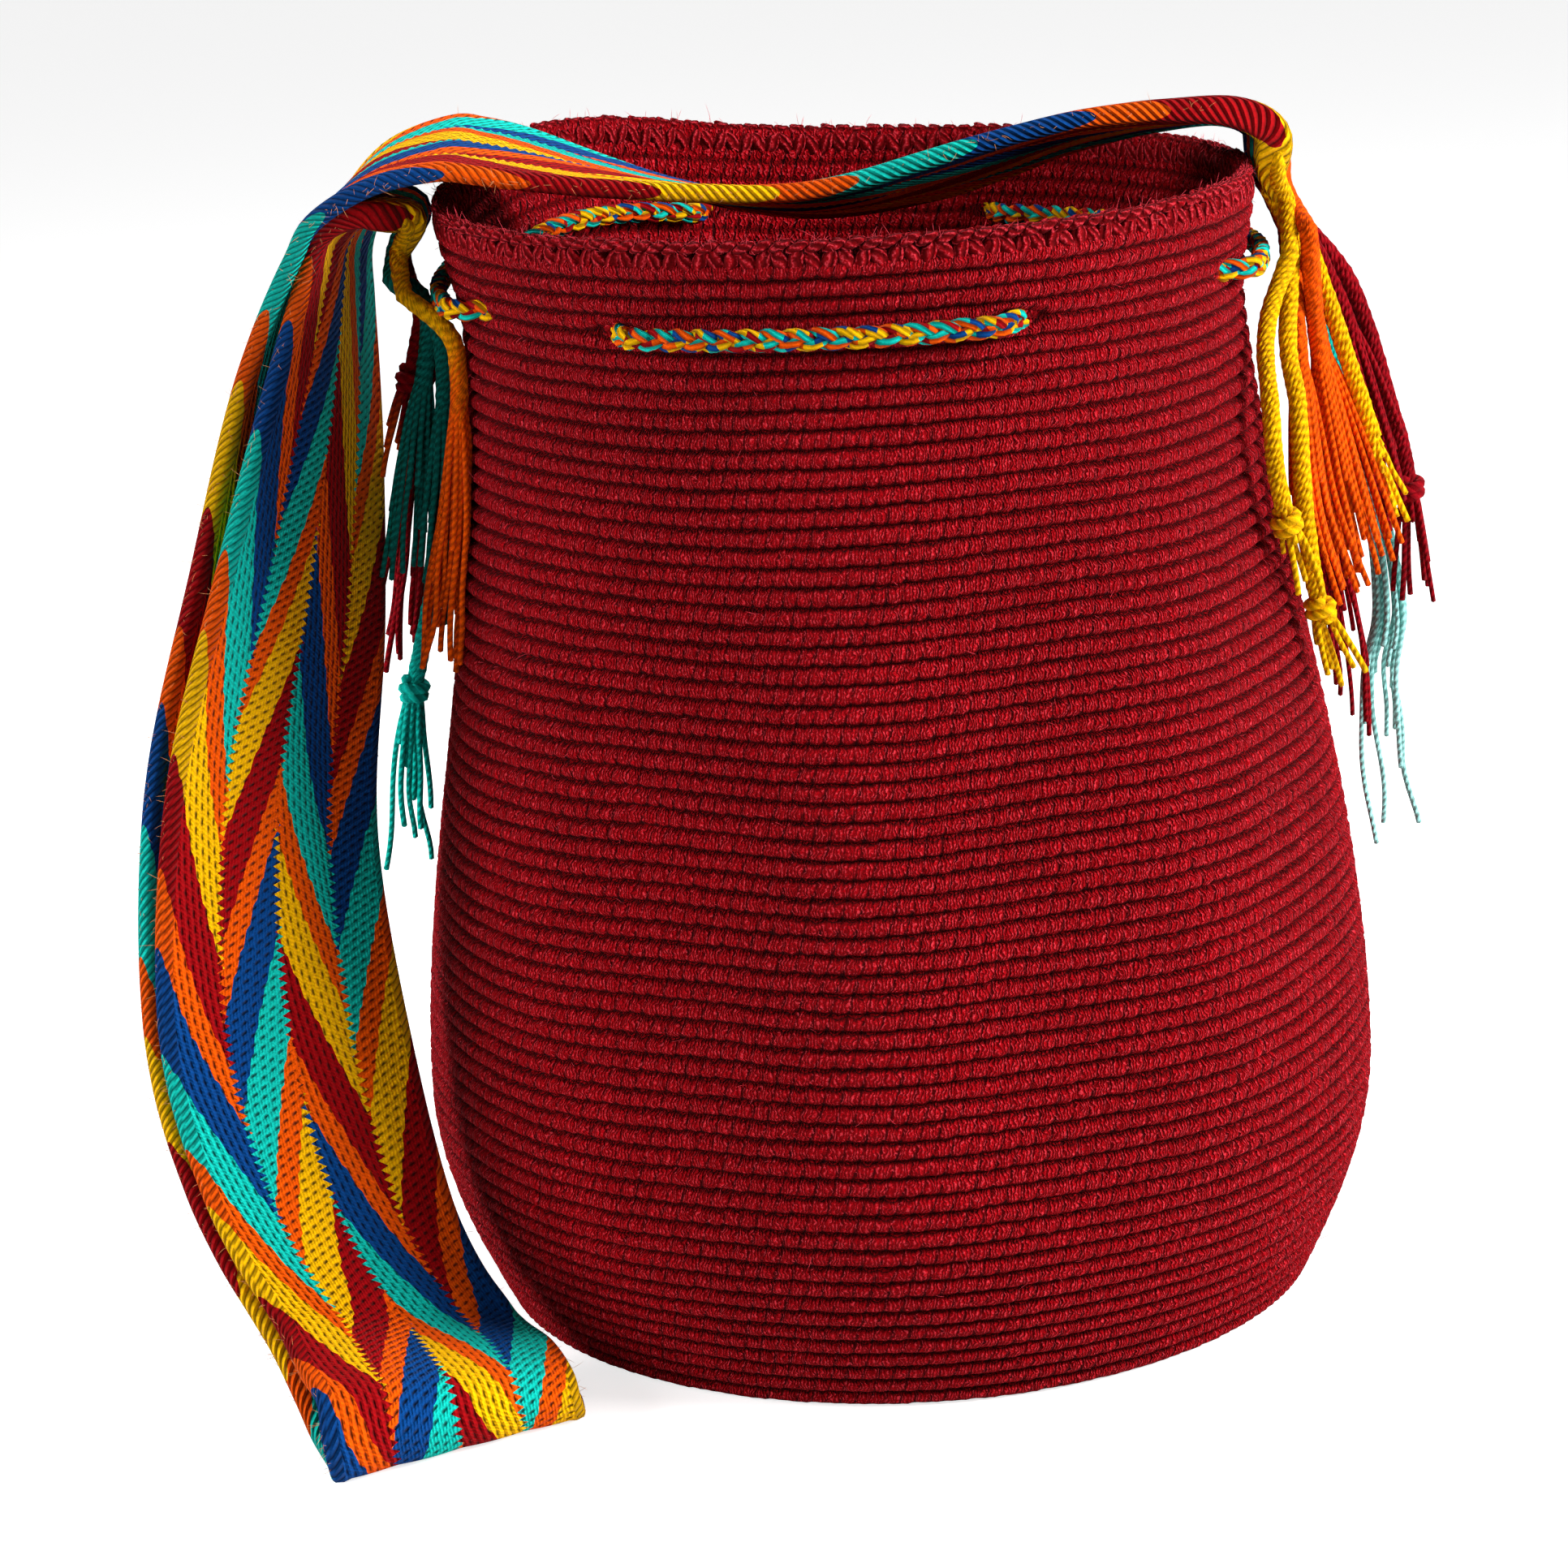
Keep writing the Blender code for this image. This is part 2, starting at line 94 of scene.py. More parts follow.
# %% Form of the bag
BAG_HEIGHT = 0.333
FOOT_RADIUS = 0.1225
BELLY_RADIUS = 0.143
BELLY_HEIGHT = 0.066
NECK_RADIUS = 0.117
NECK_DROP = 0.037
RIM_RADIUS = 0.124
WALL = 0.004
BASE_THICKNESS = 0.005
ROWS = 64
ROW_RELIEF = 0.0018
MOUTH_SQUEEZE = 0.04
MOUTH_LEAN = 0.005
RIM_LIFT = 0.012
RIM_LIFT_ANGLE = math.radians(-133)
RIM_LIFT_SPREAD = math.radians(30)
FOLD_DEPTH = 0.0014
FOLD_COUNT = 7
FRONT_FOLD = 0.0024
FRONT_FOLDS = 8


def smooth_step(share):
    share = np.clip(share, 0, 1)
    return share * share * (3 - 2 * share)


def wall_radius(z):
    """Outer radius of the round bag at a height, before it settles."""
    neck = BAG_HEIGHT - NECK_DROP
    swell = np.sin(math.pi / 2 * np.clip(z / BELLY_HEIGHT, 0, 1))
    foot = FOOT_RADIUS + (BELLY_RADIUS - FOOT_RADIUS) * swell
    taper = smooth_step((z - BELLY_HEIGHT) / (neck - BELLY_HEIGHT))
    body = BELLY_RADIUS + (NECK_RADIUS - BELLY_RADIUS) * taper
    rim = NECK_RADIUS + (RIM_RADIUS - NECK_RADIUS) * smooth_step((z - neck) / NECK_DROP)
    return np.where(z < BELLY_HEIGHT, foot, np.where(z < neck, body, rim))


def settle(x, y, z):
    """Moves points of the round bag to where the soft bag has them."""
    share = z / BAG_HEIGHT
    radius = np.maximum(np.hypot(x, y), 1e-9)
    angle = np.arctan2(x, -y)
    envelope = np.sin(math.pi * np.clip(share, 0, 1)) ** 2
    fold = FOLD_DEPTH * envelope * np.cos(FOLD_COUNT * angle + 2.6 * share)
    # The softer folds fade out at the sides, so that the sewn ends there stay in place.
    away = np.cos(angle) ** 2 * np.sin(math.pi * np.clip(share, 0, 1) ** 0.8) ** 1.5
    fold = fold + FRONT_FOLD * away * np.sin(FRONT_FOLDS * angle + 1.4 * np.sin(4 * share) + 0.9)
    x, y = x * (1 + fold / radius), y * (1 + fold / radius)
    around = (angle - RIM_LIFT_ANGLE + math.pi) % math.tau - math.pi
    lift = RIM_LIFT * share ** 4 * np.exp(-(around / RIM_LIFT_SPREAD) ** 2)
    x = x * (1 - MOUTH_SQUEEZE * share ** 3) - MOUTH_LEAN * share ** 3
    return np.stack(np.broadcast_arrays(x, y, z + lift), axis=-1)


def on_bag(angle, outward, z):
    """Points a distance outward from the wall's outer surface. Angle 0 is the front."""
    radius = wall_radius(z) + outward
    return settle(radius * np.sin(angle), -radius * np.cos(angle), z)


def bag_point(angle, outward, z):
    return on_bag(np.array([angle]), outward, np.array([z]))[0]


def travelled(line):
    """How far along a line each of its points is."""
    return np.concatenate([[0], np.cumsum(np.linalg.norm(np.diff(line, axis=0), axis=1))])


HEIGHTS = np.linspace(0, BAG_HEIGHT, 601)
WALL_LENGTHS = travelled(np.stack([HEIGHTS, wall_radius(HEIGHTS)], axis=1))


def level_of(row):
    """Height of a row, counted up from the base, with rows of equal length along the wall."""
    return np.interp(np.asarray(row) / ROWS * WALL_LENGTHS[-1], WALL_LENGTHS, HEIGHTS)


print("Wall length from base to rim:", round(float(WALL_LENGTHS[-1]), 4))

# %% [markdown]
# ## Cloth from a grid
# Most pieces are a bent grid: a wall is one rolled into a tube, and a yarn is a thin rolled one.
# The grid's square coordinates stay as a UV map, so that a pattern can follow the surface.
# Rolling brings the two long edges together, so their doubles are merged afterwards.

# %% Grids that are bent into shape
WELD = 1e-6
UV_NAME = "pattern"
LENGTH_UV = "length"


def as_mesh(name, shape):
    """Turns a bmesh into a mesh and frees it."""
    mesh = bpy.data.meshes.new(name)
    shape.to_mesh(mesh)
    shape.free()
    return mesh


def nearest(number):
    return np.rint(number).astype(int)


def unit(vector):
    return vector / np.linalg.norm(vector)


def round_line(across, over, angle):
    """The way out from a line at an angle round it."""
    return across * np.cos(angle) + over * np.sin(angle)


def bent_grid(target, columns, rows, place, mapped):
    """Adds a grid to a bmesh. place and mapped give points and UVs from the grid's two shares.

    When mapped gives four numbers, the last two are lengths in metres, in a UV map of their own.
    """
    shape = bmesh.new()
    bmesh.ops.create_grid(shape, x_segments=columns, y_segments=rows, size=0.5)
    mesh = as_mesh("bent", shape)
    flat = np.empty(len(mesh.vertices) * 3)
    mesh.vertices.foreach_get("co", flat)
    share = flat.reshape(-1, 3)[:, :2] + 0.5
    corner = np.empty(len(mesh.loops), dtype=np.int64)
    mesh.loops.foreach_get("vertex_index", corner)
    marks = mapped(share[:, 0], share[:, 1])
    for name, pair in ((UV_NAME, marks[:, :2]), (LENGTH_UV, marks[:, 2:])):
        if pair.size:
            layer = mesh.uv_layers.new(name=name)
            layer.data.foreach_set("uv", pair[corner].astype(np.float32).ravel())
    mesh.vertices.foreach_set("co", place(share[:, 0], share[:, 1]).astype(np.float32).ravel())
    target.from_mesh(mesh)
    bpy.data.meshes.remove(mesh)


def finished(name, shape, finish, slot, weld=True):
    """Turns a bmesh into a smooth piece that rides on the bag."""
    if weld:
        bmesh.ops.remove_doubles(shape, verts=shape.verts, dist=WELD)
    mesh = as_mesh(name, shape)
    mesh.polygons.foreach_set("use_smooth", np.full(len(mesh.polygons), True))
    mesh.materials.append(finish)
    piece = add_object(name, mesh)
    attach(piece, "root")
    triangles = len(mesh.loops) - 2 * len(mesh.polygons)
    print(f"{name}: {triangles} triangles")
    return piece


def in_batches(items, size, add):
    """A bmesh with every item. It grows in batches, because a large one takes longer to add to."""
    shape = bmesh.new()
    for start in range(0, len(items), size):
        batch = bmesh.new()
        batch.loops.layers.uv.new(UV_NAME)
        for item in items[start:start + size]:
            add(batch, *item)
        mesh = as_mesh("batch", batch)
        shape.from_mesh(mesh)
        bpy.data.meshes.remove(mesh)
    return shape


def spline(points, step):
    """A smooth line through points, with about one point per step. Extra numbers come along."""
    points = np.asarray(points, float)
    ends = np.concatenate([points[:1], points, points[-1:]])
    line = []
    for before, start, end, after in zip(ends, ends[1:], ends[2:], ends[3:]):
        count = max(1, round(float(np.linalg.norm((end - start)[:3])) / step))
        t = (np.arange(count) / count)[:, None]
        square, cube = 2 * before - 5 * start + 4 * end - after, 3 * start - before - 3 * end + after
        line.append(0.5 * (2 * start + (end - before) * t + square * t ** 2 + cube * t ** 3))
    return np.concatenate([*line, points[-1:]])


def frames_along(line):
    """Two directions across a line at each of its points, turned as little as possible."""
    ahead = np.gradient(line, axis=0)
    ahead /= np.linalg.norm(ahead, axis=1)[:, None] + 1e-12
    side = np.cross(ahead[0], (0, 0, 1) if abs(ahead[0][2]) < 0.8 else (1, 0, 0))
    sides = []
    for direction in ahead:
        side = unit(side - direction * (side @ direction))
        sides.append(side)
    sides = np.array(sides)
    return sides, np.cross(ahead, sides)


def add_yarn(target, line, radius, sides=5, offset=0.0):
    """Adds a yarn along a line, with pointed ends. Its UVs go round it, and along it in metres."""
    across, over = frames_along(line)
    travel = travelled(line)
    thick = np.broadcast_to(radius, travel.shape).copy()
    thick[[0, -1]] = 0
    last = len(line) - 1

    def place(u, v):
        index = nearest(v * last)
        ring = round_line(across[index], over[index], -math.tau * u[:, None])
        return line[index] + ring * thick[index][:, None]

    def mapped(u, v):
        return np.stack([u, travel[nearest(v * last)] + offset], axis=1)

    bent_grid(target, sides, last, place, mapped)


# %% [markdown]
# ## Writing a finish
# A finish is a node tree, and most of it is sums on the surface's coordinates.
# A small class stands for one socket, so that a sum written in Python adds its nodes.

# %% Finishes as sums


def maths(operation, turned=False):
    """A method that adds a Math node. Turned, the value itself comes last."""
    def method(self, *others):
        values = (*others, self) if turned else (self, *others)
        return self.finish.node('ShaderNodeMath', {"operation": operation}, values)

    return method


class Socket:
    """A value on a surface. Arithmetic on it adds Math nodes."""

    __add__ = maths('ADD')
    __sub__ = maths('SUBTRACT')
    __rsub__ = maths('SUBTRACT', turned=True)
    __mul__ = maths('MULTIPLY')
    __truediv__ = maths('DIVIDE')
    __pow__ = maths('POWER')
    __gt__ = maths('GREATER_THAN')
    __lt__ = maths('LESS_THAN')
    part = maths('FRACT')
    whole = maths('FLOOR')
    size = maths('ABSOLUTE')
    sine = maths('SINE')

    def __init__(self, finish, link):
        self.finish = finish
        self.link = link

    def wave(self):
        """A sine that runs from 0 to 1 once for each whole number."""
        return (self * math.tau).sine() * 0.5 + 0.5

    def peak(self):
        """0 at each whole number and 1 half way between."""
        return 1 - (self.part() * 2 - 1).size()


class Finish:
    """A cloth material that is built node by node."""

    def __init__(self, name, sheen=0.02, sheen_tint=(1, 1, 1)):
        self.material = bpy.data.materials.new(name)
        self.material.use_nodes = True
        self.tree = self.material.node_tree
        self.shader = self.tree.nodes["Principled BSDF"]
        self.look({"Roughness": 0.9, "Specular IOR Level": 0.06, "Sheen Weight": sheen,
                   "Sheen Roughness": 0.45, "Sheen Tint": (*sheen_tint, 1)})

    def look(self, values):
        """Sets the shader's plain values."""
        for socket, value in values.items():
            self.shader.inputs[socket].default_value = value

    def node(self, kind, settings=None, values=(), output=0):
        """Adds a node: its settings, then the values or links of its sockets, by order or by name."""
        made = self.tree.nodes.new(kind)
        for name, value in (settings or {}).items():
            setattr(made, name, value)
        pairs = values.items() if isinstance(values, dict) else enumerate(values)
        for key, value in pairs:
            if isinstance(value, Socket):
                self.tree.links.new(value.link, made.inputs[key])
            else:
                made.inputs[key].default_value = value
        return Socket(self, made.outputs[output])

    def uv(self, name=UV_NAME):
        """The two coordinates of a UV map."""
        place = self.node('ShaderNodeUVMap', {"uv_map": name})
        separate = self.node('ShaderNodeSeparateXYZ', values=[place])
        return separate, Socket(self, separate.link.node.outputs[1])

    def noise(self, scale, detail):
        """Noise about 0.5, fixed to the bag."""
        place = self.node('ShaderNodeTexCoord', output=3)
        values = {"Vector": place, "Scale": scale, "Detail": detail, "Roughness": 0.5}
        return self.node('ShaderNodeTexNoise', values=values)

    def mix(self, share, first, second):
        """Between two colours."""
        first = first if isinstance(first, Socket) else (*first, 1)
        values = {0: share, 6: first, 7: (*second, 1)}
        return self.node('ShaderNodeMix', {"data_type": 'RGBA'}, values, output=2)

    def ramp(self, share, stops, interpolation='LINEAR'):
        """A tone for every share. A stop's tone is a colour, or a number for a grey."""
        made = self.node('ShaderNodeValToRGB', values=[share])
        ramp = made.link.node.color_ramp
        ramp.interpolation = interpolation
        for position, tone in stops[2:]:
            ramp.elements.new(position)
        for element, (position, tone) in zip(ramp.elements, stops):
            element.position = position
            element.color = (*tone, 1) if isinstance(tone, tuple) else (tone, tone, tone, 1)
        return made

    def shade(self, colour, share):
        """Darkens or lightens a colour by a varying amount."""
        return self.node('ShaderNodeVectorMath', {"operation": 'SCALE'}, {0: colour, 3: share})

    def wear(self, colour, height, distance):
        """Joins the colour and the bump to the shader."""
        values = {"Height": height, "Distance": distance, "Strength": 1.0}
        bump = self.node('ShaderNodeBump', values=values)
        self.tree.links.new(colour.link, self.shader.inputs["Base Color"])
        self.tree.links.new(bump.link, self.shader.inputs["Normal"])
        return self.material


def srgb(red, green, blue):
    """A colour as a picture gives it, from 0 to 255, as the shader wants it."""
    shares = [value / 255 for value in (red, green, blue)]
    return tuple(s / 12.92 if s <= 0.04045 else ((s + 0.055) / 1.055) ** 2.4 for s in shares)


# %% [markdown]
# ## Yarn colours
# The cotton is dyed in strong colours, and the bag's own red is a deep crimson.

# %% Yarn colours
BAG_RED = srgb(168, 0, 13)
# Pink for the painted highlights on the bag's plies, and the colour of the bag's fuzz hairs.
HIGHLIGHT_AND_FUZZ_PINK = srgb(226, 66, 80)
STRAP_RED = srgb(158, 6, 14)
DARK_RED = srgb(146, 6, 20)
ORANGE = srgb(248, 90, 2)
YELLOW = srgb(255, 192, 2)
TURQUOISE = srgb(14, 204, 188)
TEAL = srgb(10, 120, 110)
PALE = srgb(178, 246, 240)
BLUE = srgb(6, 68, 138)
STRAP_HAIR = srgb(226, 150, 96)
RED_SHEEN = (0.03, (1.0, 0.3, 0.4))
STITCHES = 184
print("Stitches in a round:", STITCHES)

# %% [markdown]
# ## The crochet finish
# Each row is a flattened rope of stitches. Thin plies run up over it, about five to a stitch, and a
# dark gap parts it from the next row. The rows are real relief. The finish adds the plies, painted
# shade between the plies, in the gaps and in the notches between stitches, and painted pink
# highlights on the plies' tops.

# %% Crochet finish


def crochet_finish(name, plies=4.5, gap_from=0.60, gap_shade_tone=0.02, notch_shade=0.72):
    finish = Finish(name, *RED_SHEEN)
    u, v = finish.uv()
    wobble = finish.noise(420, 2) - 0.5
    drift = finish.noise(60, 1) - 0.5
    stitch = u * STITCHES + drift * 0.5
    row = v * ROWS
    ply = (stitch * plies + row.part() * 1.3 + wobble * 3.2).wave()
    edge = row + (stitch.peak() - 0.5) * 0.15 + wobble * 0.26 + drift * 0.30
    gap = (edge.part() * 2 - 1).size() + drift * 0.16
    # Painted shade: nearly black in the gap between two rows, where the groove lies in shade.
    dark = finish.ramp(gap, [(gap_from, 1), (0.95, gap_shade_tone), (0.82, 0.62)])
    # Painted shade: darker in the notches between stitches.
    between = stitch.peak() + wobble * 0.9
    painted_notch_shade = finish.ramp(between, [(0.0, 1 - notch_shade), (0.30, 1)])
    patch = finish.noise(16, 2)
    fibre = finish.noise(1300, 1)
    # The tone puts painted shade between the plies and in the gaps and notches, with random patches and
    # fibres.
    tone = (ply * 0.62 + 0.52) * (patch * 0.5 + 0.75) * (fibre * 0.9 + 0.55) * dark * painted_notch_shade
    # Painted highlight: pink specks on the plies' tops, away from the gaps.
    painted_highlight = finish.ramp(fibre * (ply * 0.6 + 0.4) * dark, [(0.43, 0), (0.60, 0.62)])
    height = ply * 0.6 + fibre * 0.4 + (stitch.peak() ** 0.5) * 0.6
    return finish.wear(finish.mix(painted_highlight, finish.shade(BAG_RED, tone), HIGHLIGHT_AND_FUZZ_PINK), height, 0.0010)


wall_finish = crochet_finish("crochet_outside")
# Inside, the gaps get lighter painted shade and the notches between stitches darker painted shade.
inside_finish = crochet_finish("crochet_inside", plies=2.5, gap_from=0.55, gap_shade_tone=0.25, notch_shade=0.9)
print("Crochet finishes made")

# %% [markdown]
# ## The crocheted wall
# A crocheted wall is a stack of rounds. A grid with five points up each row, close together at the
# gap, and three across each stitch makes rows and stitches real relief. The columns lean, as stitches
# do. Where the drawstring passes, the rows part round a slot.

# %% Outer wall
CREST = 0.0010
GROOVE = 0.0026
ROW_WANDER = 0.0006
ROW_STOPS = np.array([0.0, 0.09, 0.32, 0.68, 0.91])
STITCH_POINTS = 3
STITCH_LEAN = 0.36
STITCH_NOTCH = 0.0005
STITCH_RISE = 0.00016
HAND_OUT = 0.00014
HAND_UP = 0.00022
SLOT_ANGLES = np.radians([155, 112, 68, 22, -35, -68, -112, -158])
CORD_LEVEL = BAG_HEIGHT - 0.026
SLOT_SPREAD = 0.009
SLOT_HEIGHT = 0.0036
SLOT_PARTING = 0.0016

# Each stitch of a hand's work differs a little from the next.
HAND = np.random.default_rng(7).uniform(-1, 1, (ROWS + 2, STITCHES))


def from_slots(angle, z):
    """1 in the middle of a slot and 0 away from it, and the height above the slot."""
    above = z - CORD_LEVEL
    near = np.zeros_like(angle)
    for slot in SLOT_ANGLES:
        turn = (angle - slot + math.pi) % math.tau - math.pi
        across = turn * (NECK_RADIUS + CREST) / SLOT_SPREAD
        near = np.maximum(near, np.exp(-across ** 4 - (above / SLOT_HEIGHT) ** 4))
    return near, above


def row_at(step, stops):
    """The row count at a grid step, where every row has the same stops."""
    step = nearest(step)
    return step // len(stops) + stops[step % len(stops)]


def crest_at(row, power=2.6):
    """0 in the gap between two rows and 1 on a row's back."""
    return 1 - np.abs(2 * (row % 1) - 1) ** power


def outer_wall(name, first_row, last_row):
    """The rows of the outer wall between two counts, as one piece."""
    steps = (last_row - first_row) * len(ROW_STOPS)
    columns = STITCHES * STITCH_POINTS

    def place(u, v):
        row = row_at(v * steps, ROW_STOPS) + first_row
        angle = math.tau * (u + STITCH_LEAN * row / STITCHES) - math.pi
        z = level_of(row)
        crest = crest_at(row)
        point = nearest(u * columns) % columns
        column, stitch = point % STITCH_POINTS, point // STITCH_POINTS
        hand = HAND[np.floor(row + 0.5).astype(int), stitch]
        wander = ROW_WANDER * np.sin(5 * angle + row * 0.13) * np.sin(math.pi * row / ROWS)
        out = CREST - GROOVE * (1 - crest) - STITCH_NOTCH * (column == 0) * crest
        out = out + HAND_OUT * hand * crest
        near, above = from_slots(angle, z)
        z = z + np.sign(above) * near * SLOT_PARTING
        z = z + wander + (hand * HAND_UP + (column == 1) * STITCH_RISE) * (1 - near)
        return on_bag(angle, out - near * WALL / 2, z)

    def mapped(u, v):
        return np.stack([u, (row_at(v * steps, ROW_STOPS) + first_row) / ROWS], axis=1)

    shape = bmesh.new()
    bent_grid(shape, columns, steps, place, mapped)
    return finished(name, shape, wall_finish, "bag_yarn")


half_way = ROWS // 2
wall_lower = outer_wall("wall_lower", 0, half_way)
wall_upper = outer_wall("wall_upper", half_way, ROWS - 1)
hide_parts("bag_body")

# %% [markdown]
# ## The inside of the bag
# Inside, the rounds show their backs: chunkier stitches like bricks, with small dark holes: shallow dips
# in the grid with painted shade in them.
# A coarser grid is enough, because the mouth's shade lies over it. The base is a flat round.

# %% Inner wall and base
INNER_POINTS = 2
INNER_STOPS = np.array([0.0, 0.3, 0.7])
INNER_CREST = 0.0011
INNER_NOTCH = 0.0009
BASE_ROUNDS = 23
BASE_CREST = 0.0011


def inner_wall():
    steps = (ROWS - 1) * len(INNER_STOPS)
    columns = STITCHES * INNER_POINTS

    def place(u, v):
        row = row_at(v * steps, INNER_STOPS) + 1
        angle = math.pi - math.tau * (u + 0.5 * row / STITCHES)
        z = np.maximum(level_of(row), BASE_THICKNESS)
        column = nearest(u * columns) % INNER_POINTS
        inward = INNER_CREST * crest_at(row, 2) - INNER_NOTCH * (column == 0)
        near, above = from_slots(angle, z)
        return on_bag(angle, -WALL - inward * (1 - near) + near * WALL / 2, z)

    def mapped(u, v):
        return np.stack([u, (row_at(v * steps, INNER_STOPS) + 1) / ROWS], axis=1)

    shape = bmesh.new()
    bent_grid(shape, columns, steps, place, mapped)
    finished("wall_inside", shape, inside_finish, "bag_yarn")


def base(name, height, radius, facing):
    """A flat crocheted round, worked outward from its middle."""
    def place(u, v):
        angle = facing * math.tau * u
        out = v * radius
        z = height + facing * BASE_CREST * crest_at(v * BASE_ROUNDS)
        return np.stack([out * np.sin(angle), -out * np.cos(angle), z], axis=1)

    def mapped(u, v):
        return np.stack([u, v * BASE_ROUNDS / ROWS], axis=1)

    shape = bmesh.new()
    bent_grid(shape, STITCHES, BASE_ROUNDS * 3, place, mapped)
    finished(name, shape, wall_finish, "bag_yarn")


inner_wall()
base("base_outside", BASE_CREST, FOOT_RADIUS, -1)
base("base_inside", BASE_THICKNESS, FOOT_RADIUS - WALL / 2, 1)

# %% [markdown]
# ## The rim
# The last round is an edging in thicker stitches: pairs of fat slanted posts with dark notches between
# them, and a chain of loops over the top. Each is one small rounded shape, repeated round the mouth.

# %% Rim edging
LOOP_BATCH = 24
RIM_POSTS = 84
POST_DROP = 0.0052
POST_LEAN = 0.46
OUTER_POST = (-0.0016, 0.0076, 0.0046)
INNER_POST = (-0.0038, 0.0080, 0.0036)
CHAIN_LOOPS = 150
CHAIN_DROP = 0.0012
CHAIN_LENGTH = 0.0027
CHAIN_OVERLAP = 1.45


def rim_finish():
    finish = Finish("crochet_rim", *RED_SHEEN)
    wobble = finish.noise(200, 2)
    fibre = finish.noise(1500, 1)
    u, v = finish.uv()
    ply = (u * 6 + v * 1.5 + wobble * 1.6).wave()
    # The tone is darker between the plies, which is painted shade, and varies at random with noise.
    tone = (ply * 0.6 + 0.26) * (wobble * 0.8 + 0.5) * (fibre * 0.8 + 0.6)
    # Painted highlight: pink specks on the plies.
    painted_highlight = finish.ramp(fibre * (ply * 0.6 + 0.4), [(0.40, 0), (0.60, 0.6)])
    colour = finish.mix(painted_highlight, finish.shade(BAG_RED, tone), HIGHLIGHT_AND_FUZZ_PINK)
    return finish.wear(colour, ply * 0.7 + fibre * 0.3, 0.0010)


def rim_frame(angle, outward, z):
    """A place on the wall, and the ways along the rim, outward and up there."""
    here = Vector(bag_point(angle, outward, z))
    along = (Vector(bag_point(angle + 0.01, outward, z)) - here).normalized()
    out = along.cross(Vector((0, 0, 1))).normalized()
    return here, along, out, out.cross(along)


def add_loop(shape, place, length, width, depth, lean):
    """Adds a ball that is drawn out into a fat loop of yarn."""
    here, along, out, up = place
    turn = Matrix((along, out, -up)).transposed().to_4x4()
    size = Matrix.Diagonal((width / 2, depth / 2, length / 2, 1))
    matrix = Matrix.Translation(here) @ turn @ Matrix.Rotation(lean, 4, 'Y') @ size
    bmesh.ops.create_uvsphere(shape, u_segments=8, v_segments=6, radius=1, calc_uvs=True, matrix=matrix)


def either_way(reach):
    """A random number from minus the reach to the reach."""
    return random.uniform(-reach, reach)


def rim_loops():
    """Every loop of the rim: its place, length, width, depth and lean."""
    random.seed(4)
    loops = []
    wide = math.tau * RIM_RADIUS / RIM_POSTS
    for i in range(RIM_POSTS):
        angle = math.tau * i / RIM_POSTS
        z = BAG_HEIGHT - POST_DROP + either_way(0.0004)
        for half in (-1, 1):
            lean = either_way(0.12) - half * POST_LEAN
            beside = angle + half * 0.25 * wide / RIM_RADIUS
            broad = wide * random.uniform(0.50, 0.58)
            for (outward, length, depth), turn in ((OUTER_POST, lean), (INNER_POST, -lean)):
                loops.append((rim_frame(beside, outward, z), length, broad, depth, turn))
    wide = math.tau * RIM_RADIUS / CHAIN_LOOPS * CHAIN_OVERLAP
    for i in range(CHAIN_LOOPS):
        angle = math.tau * i / CHAIN_LOOPS
        lean = either_way(0.1)
        z = BAG_HEIGHT - CHAIN_DROP + either_way(0.0003)
        loops.append((rim_frame(angle, -0.0011, z), CHAIN_LENGTH, wide, 0.0030, 0.42 + lean))
        loops.append((rim_frame(angle + 0.02, -0.0030, z), CHAIN_LENGTH, wide, 0.0026, lean - 0.38))
    return loops


rim_shape = in_batches(rim_loops(), LOOP_BATCH, add_loop)
finished("rim_edging", rim_shape, rim_finish(), "bag_yarn", weld=False)

# %% [markdown]
# ## The drawstring
# The drawstring is a plait of three thick strands in mixed colours, 0.9 m long. It runs in and out of
# eight slots under the rim, and its knotted ends hang at the back. The route has the same points as in
# the CAD part.

# %% Drawstring route
CORD_DIAMETER = 0.0065
CORD_RADIUS = CORD_DIAMETER / 2
CORD_CLEARANCE = 0.0015
CORD_STEP = 0.0016
CROSSING = 0.008
TAIL_HANG = 0.085
KNOT_DIAMETER = 0.012
SLOT_WALL = float(wall_radius(CORD_LEVEL))


def cord_tail(angle, turn):
    """A hanging end, from its knot up to the slot."""
    away = CORD_CLEARANCE + ROW_RELIEF / 2
    swing = turn * (CROSSING + 2 * CORD_DIAMETER) / SLOT_WALL
    knot = CORD_LEVEL - TAIL_HANG
    lean_out = away + KNOT_DIAMETER / 2
    stops = [
        (knot - KNOT_DIAMETER / 2, lean_out),
        (knot, lean_out),
        (knot + KNOT_DIAMETER / 2, lean_out),
        (knot + TAIL_HANG * 0.4, away + CORD_RADIUS * 1.3),
        (CORD_LEVEL - 2 * CORD_DIAMETER, away + CORD_RADIUS * 1.2),
        (CORD_LEVEL - 0.8 * CORD_DIAMETER, away + CORD_RADIUS * 1.3),
    ]
    return [bag_point(angle + swing, out, z) for z, out in stops]


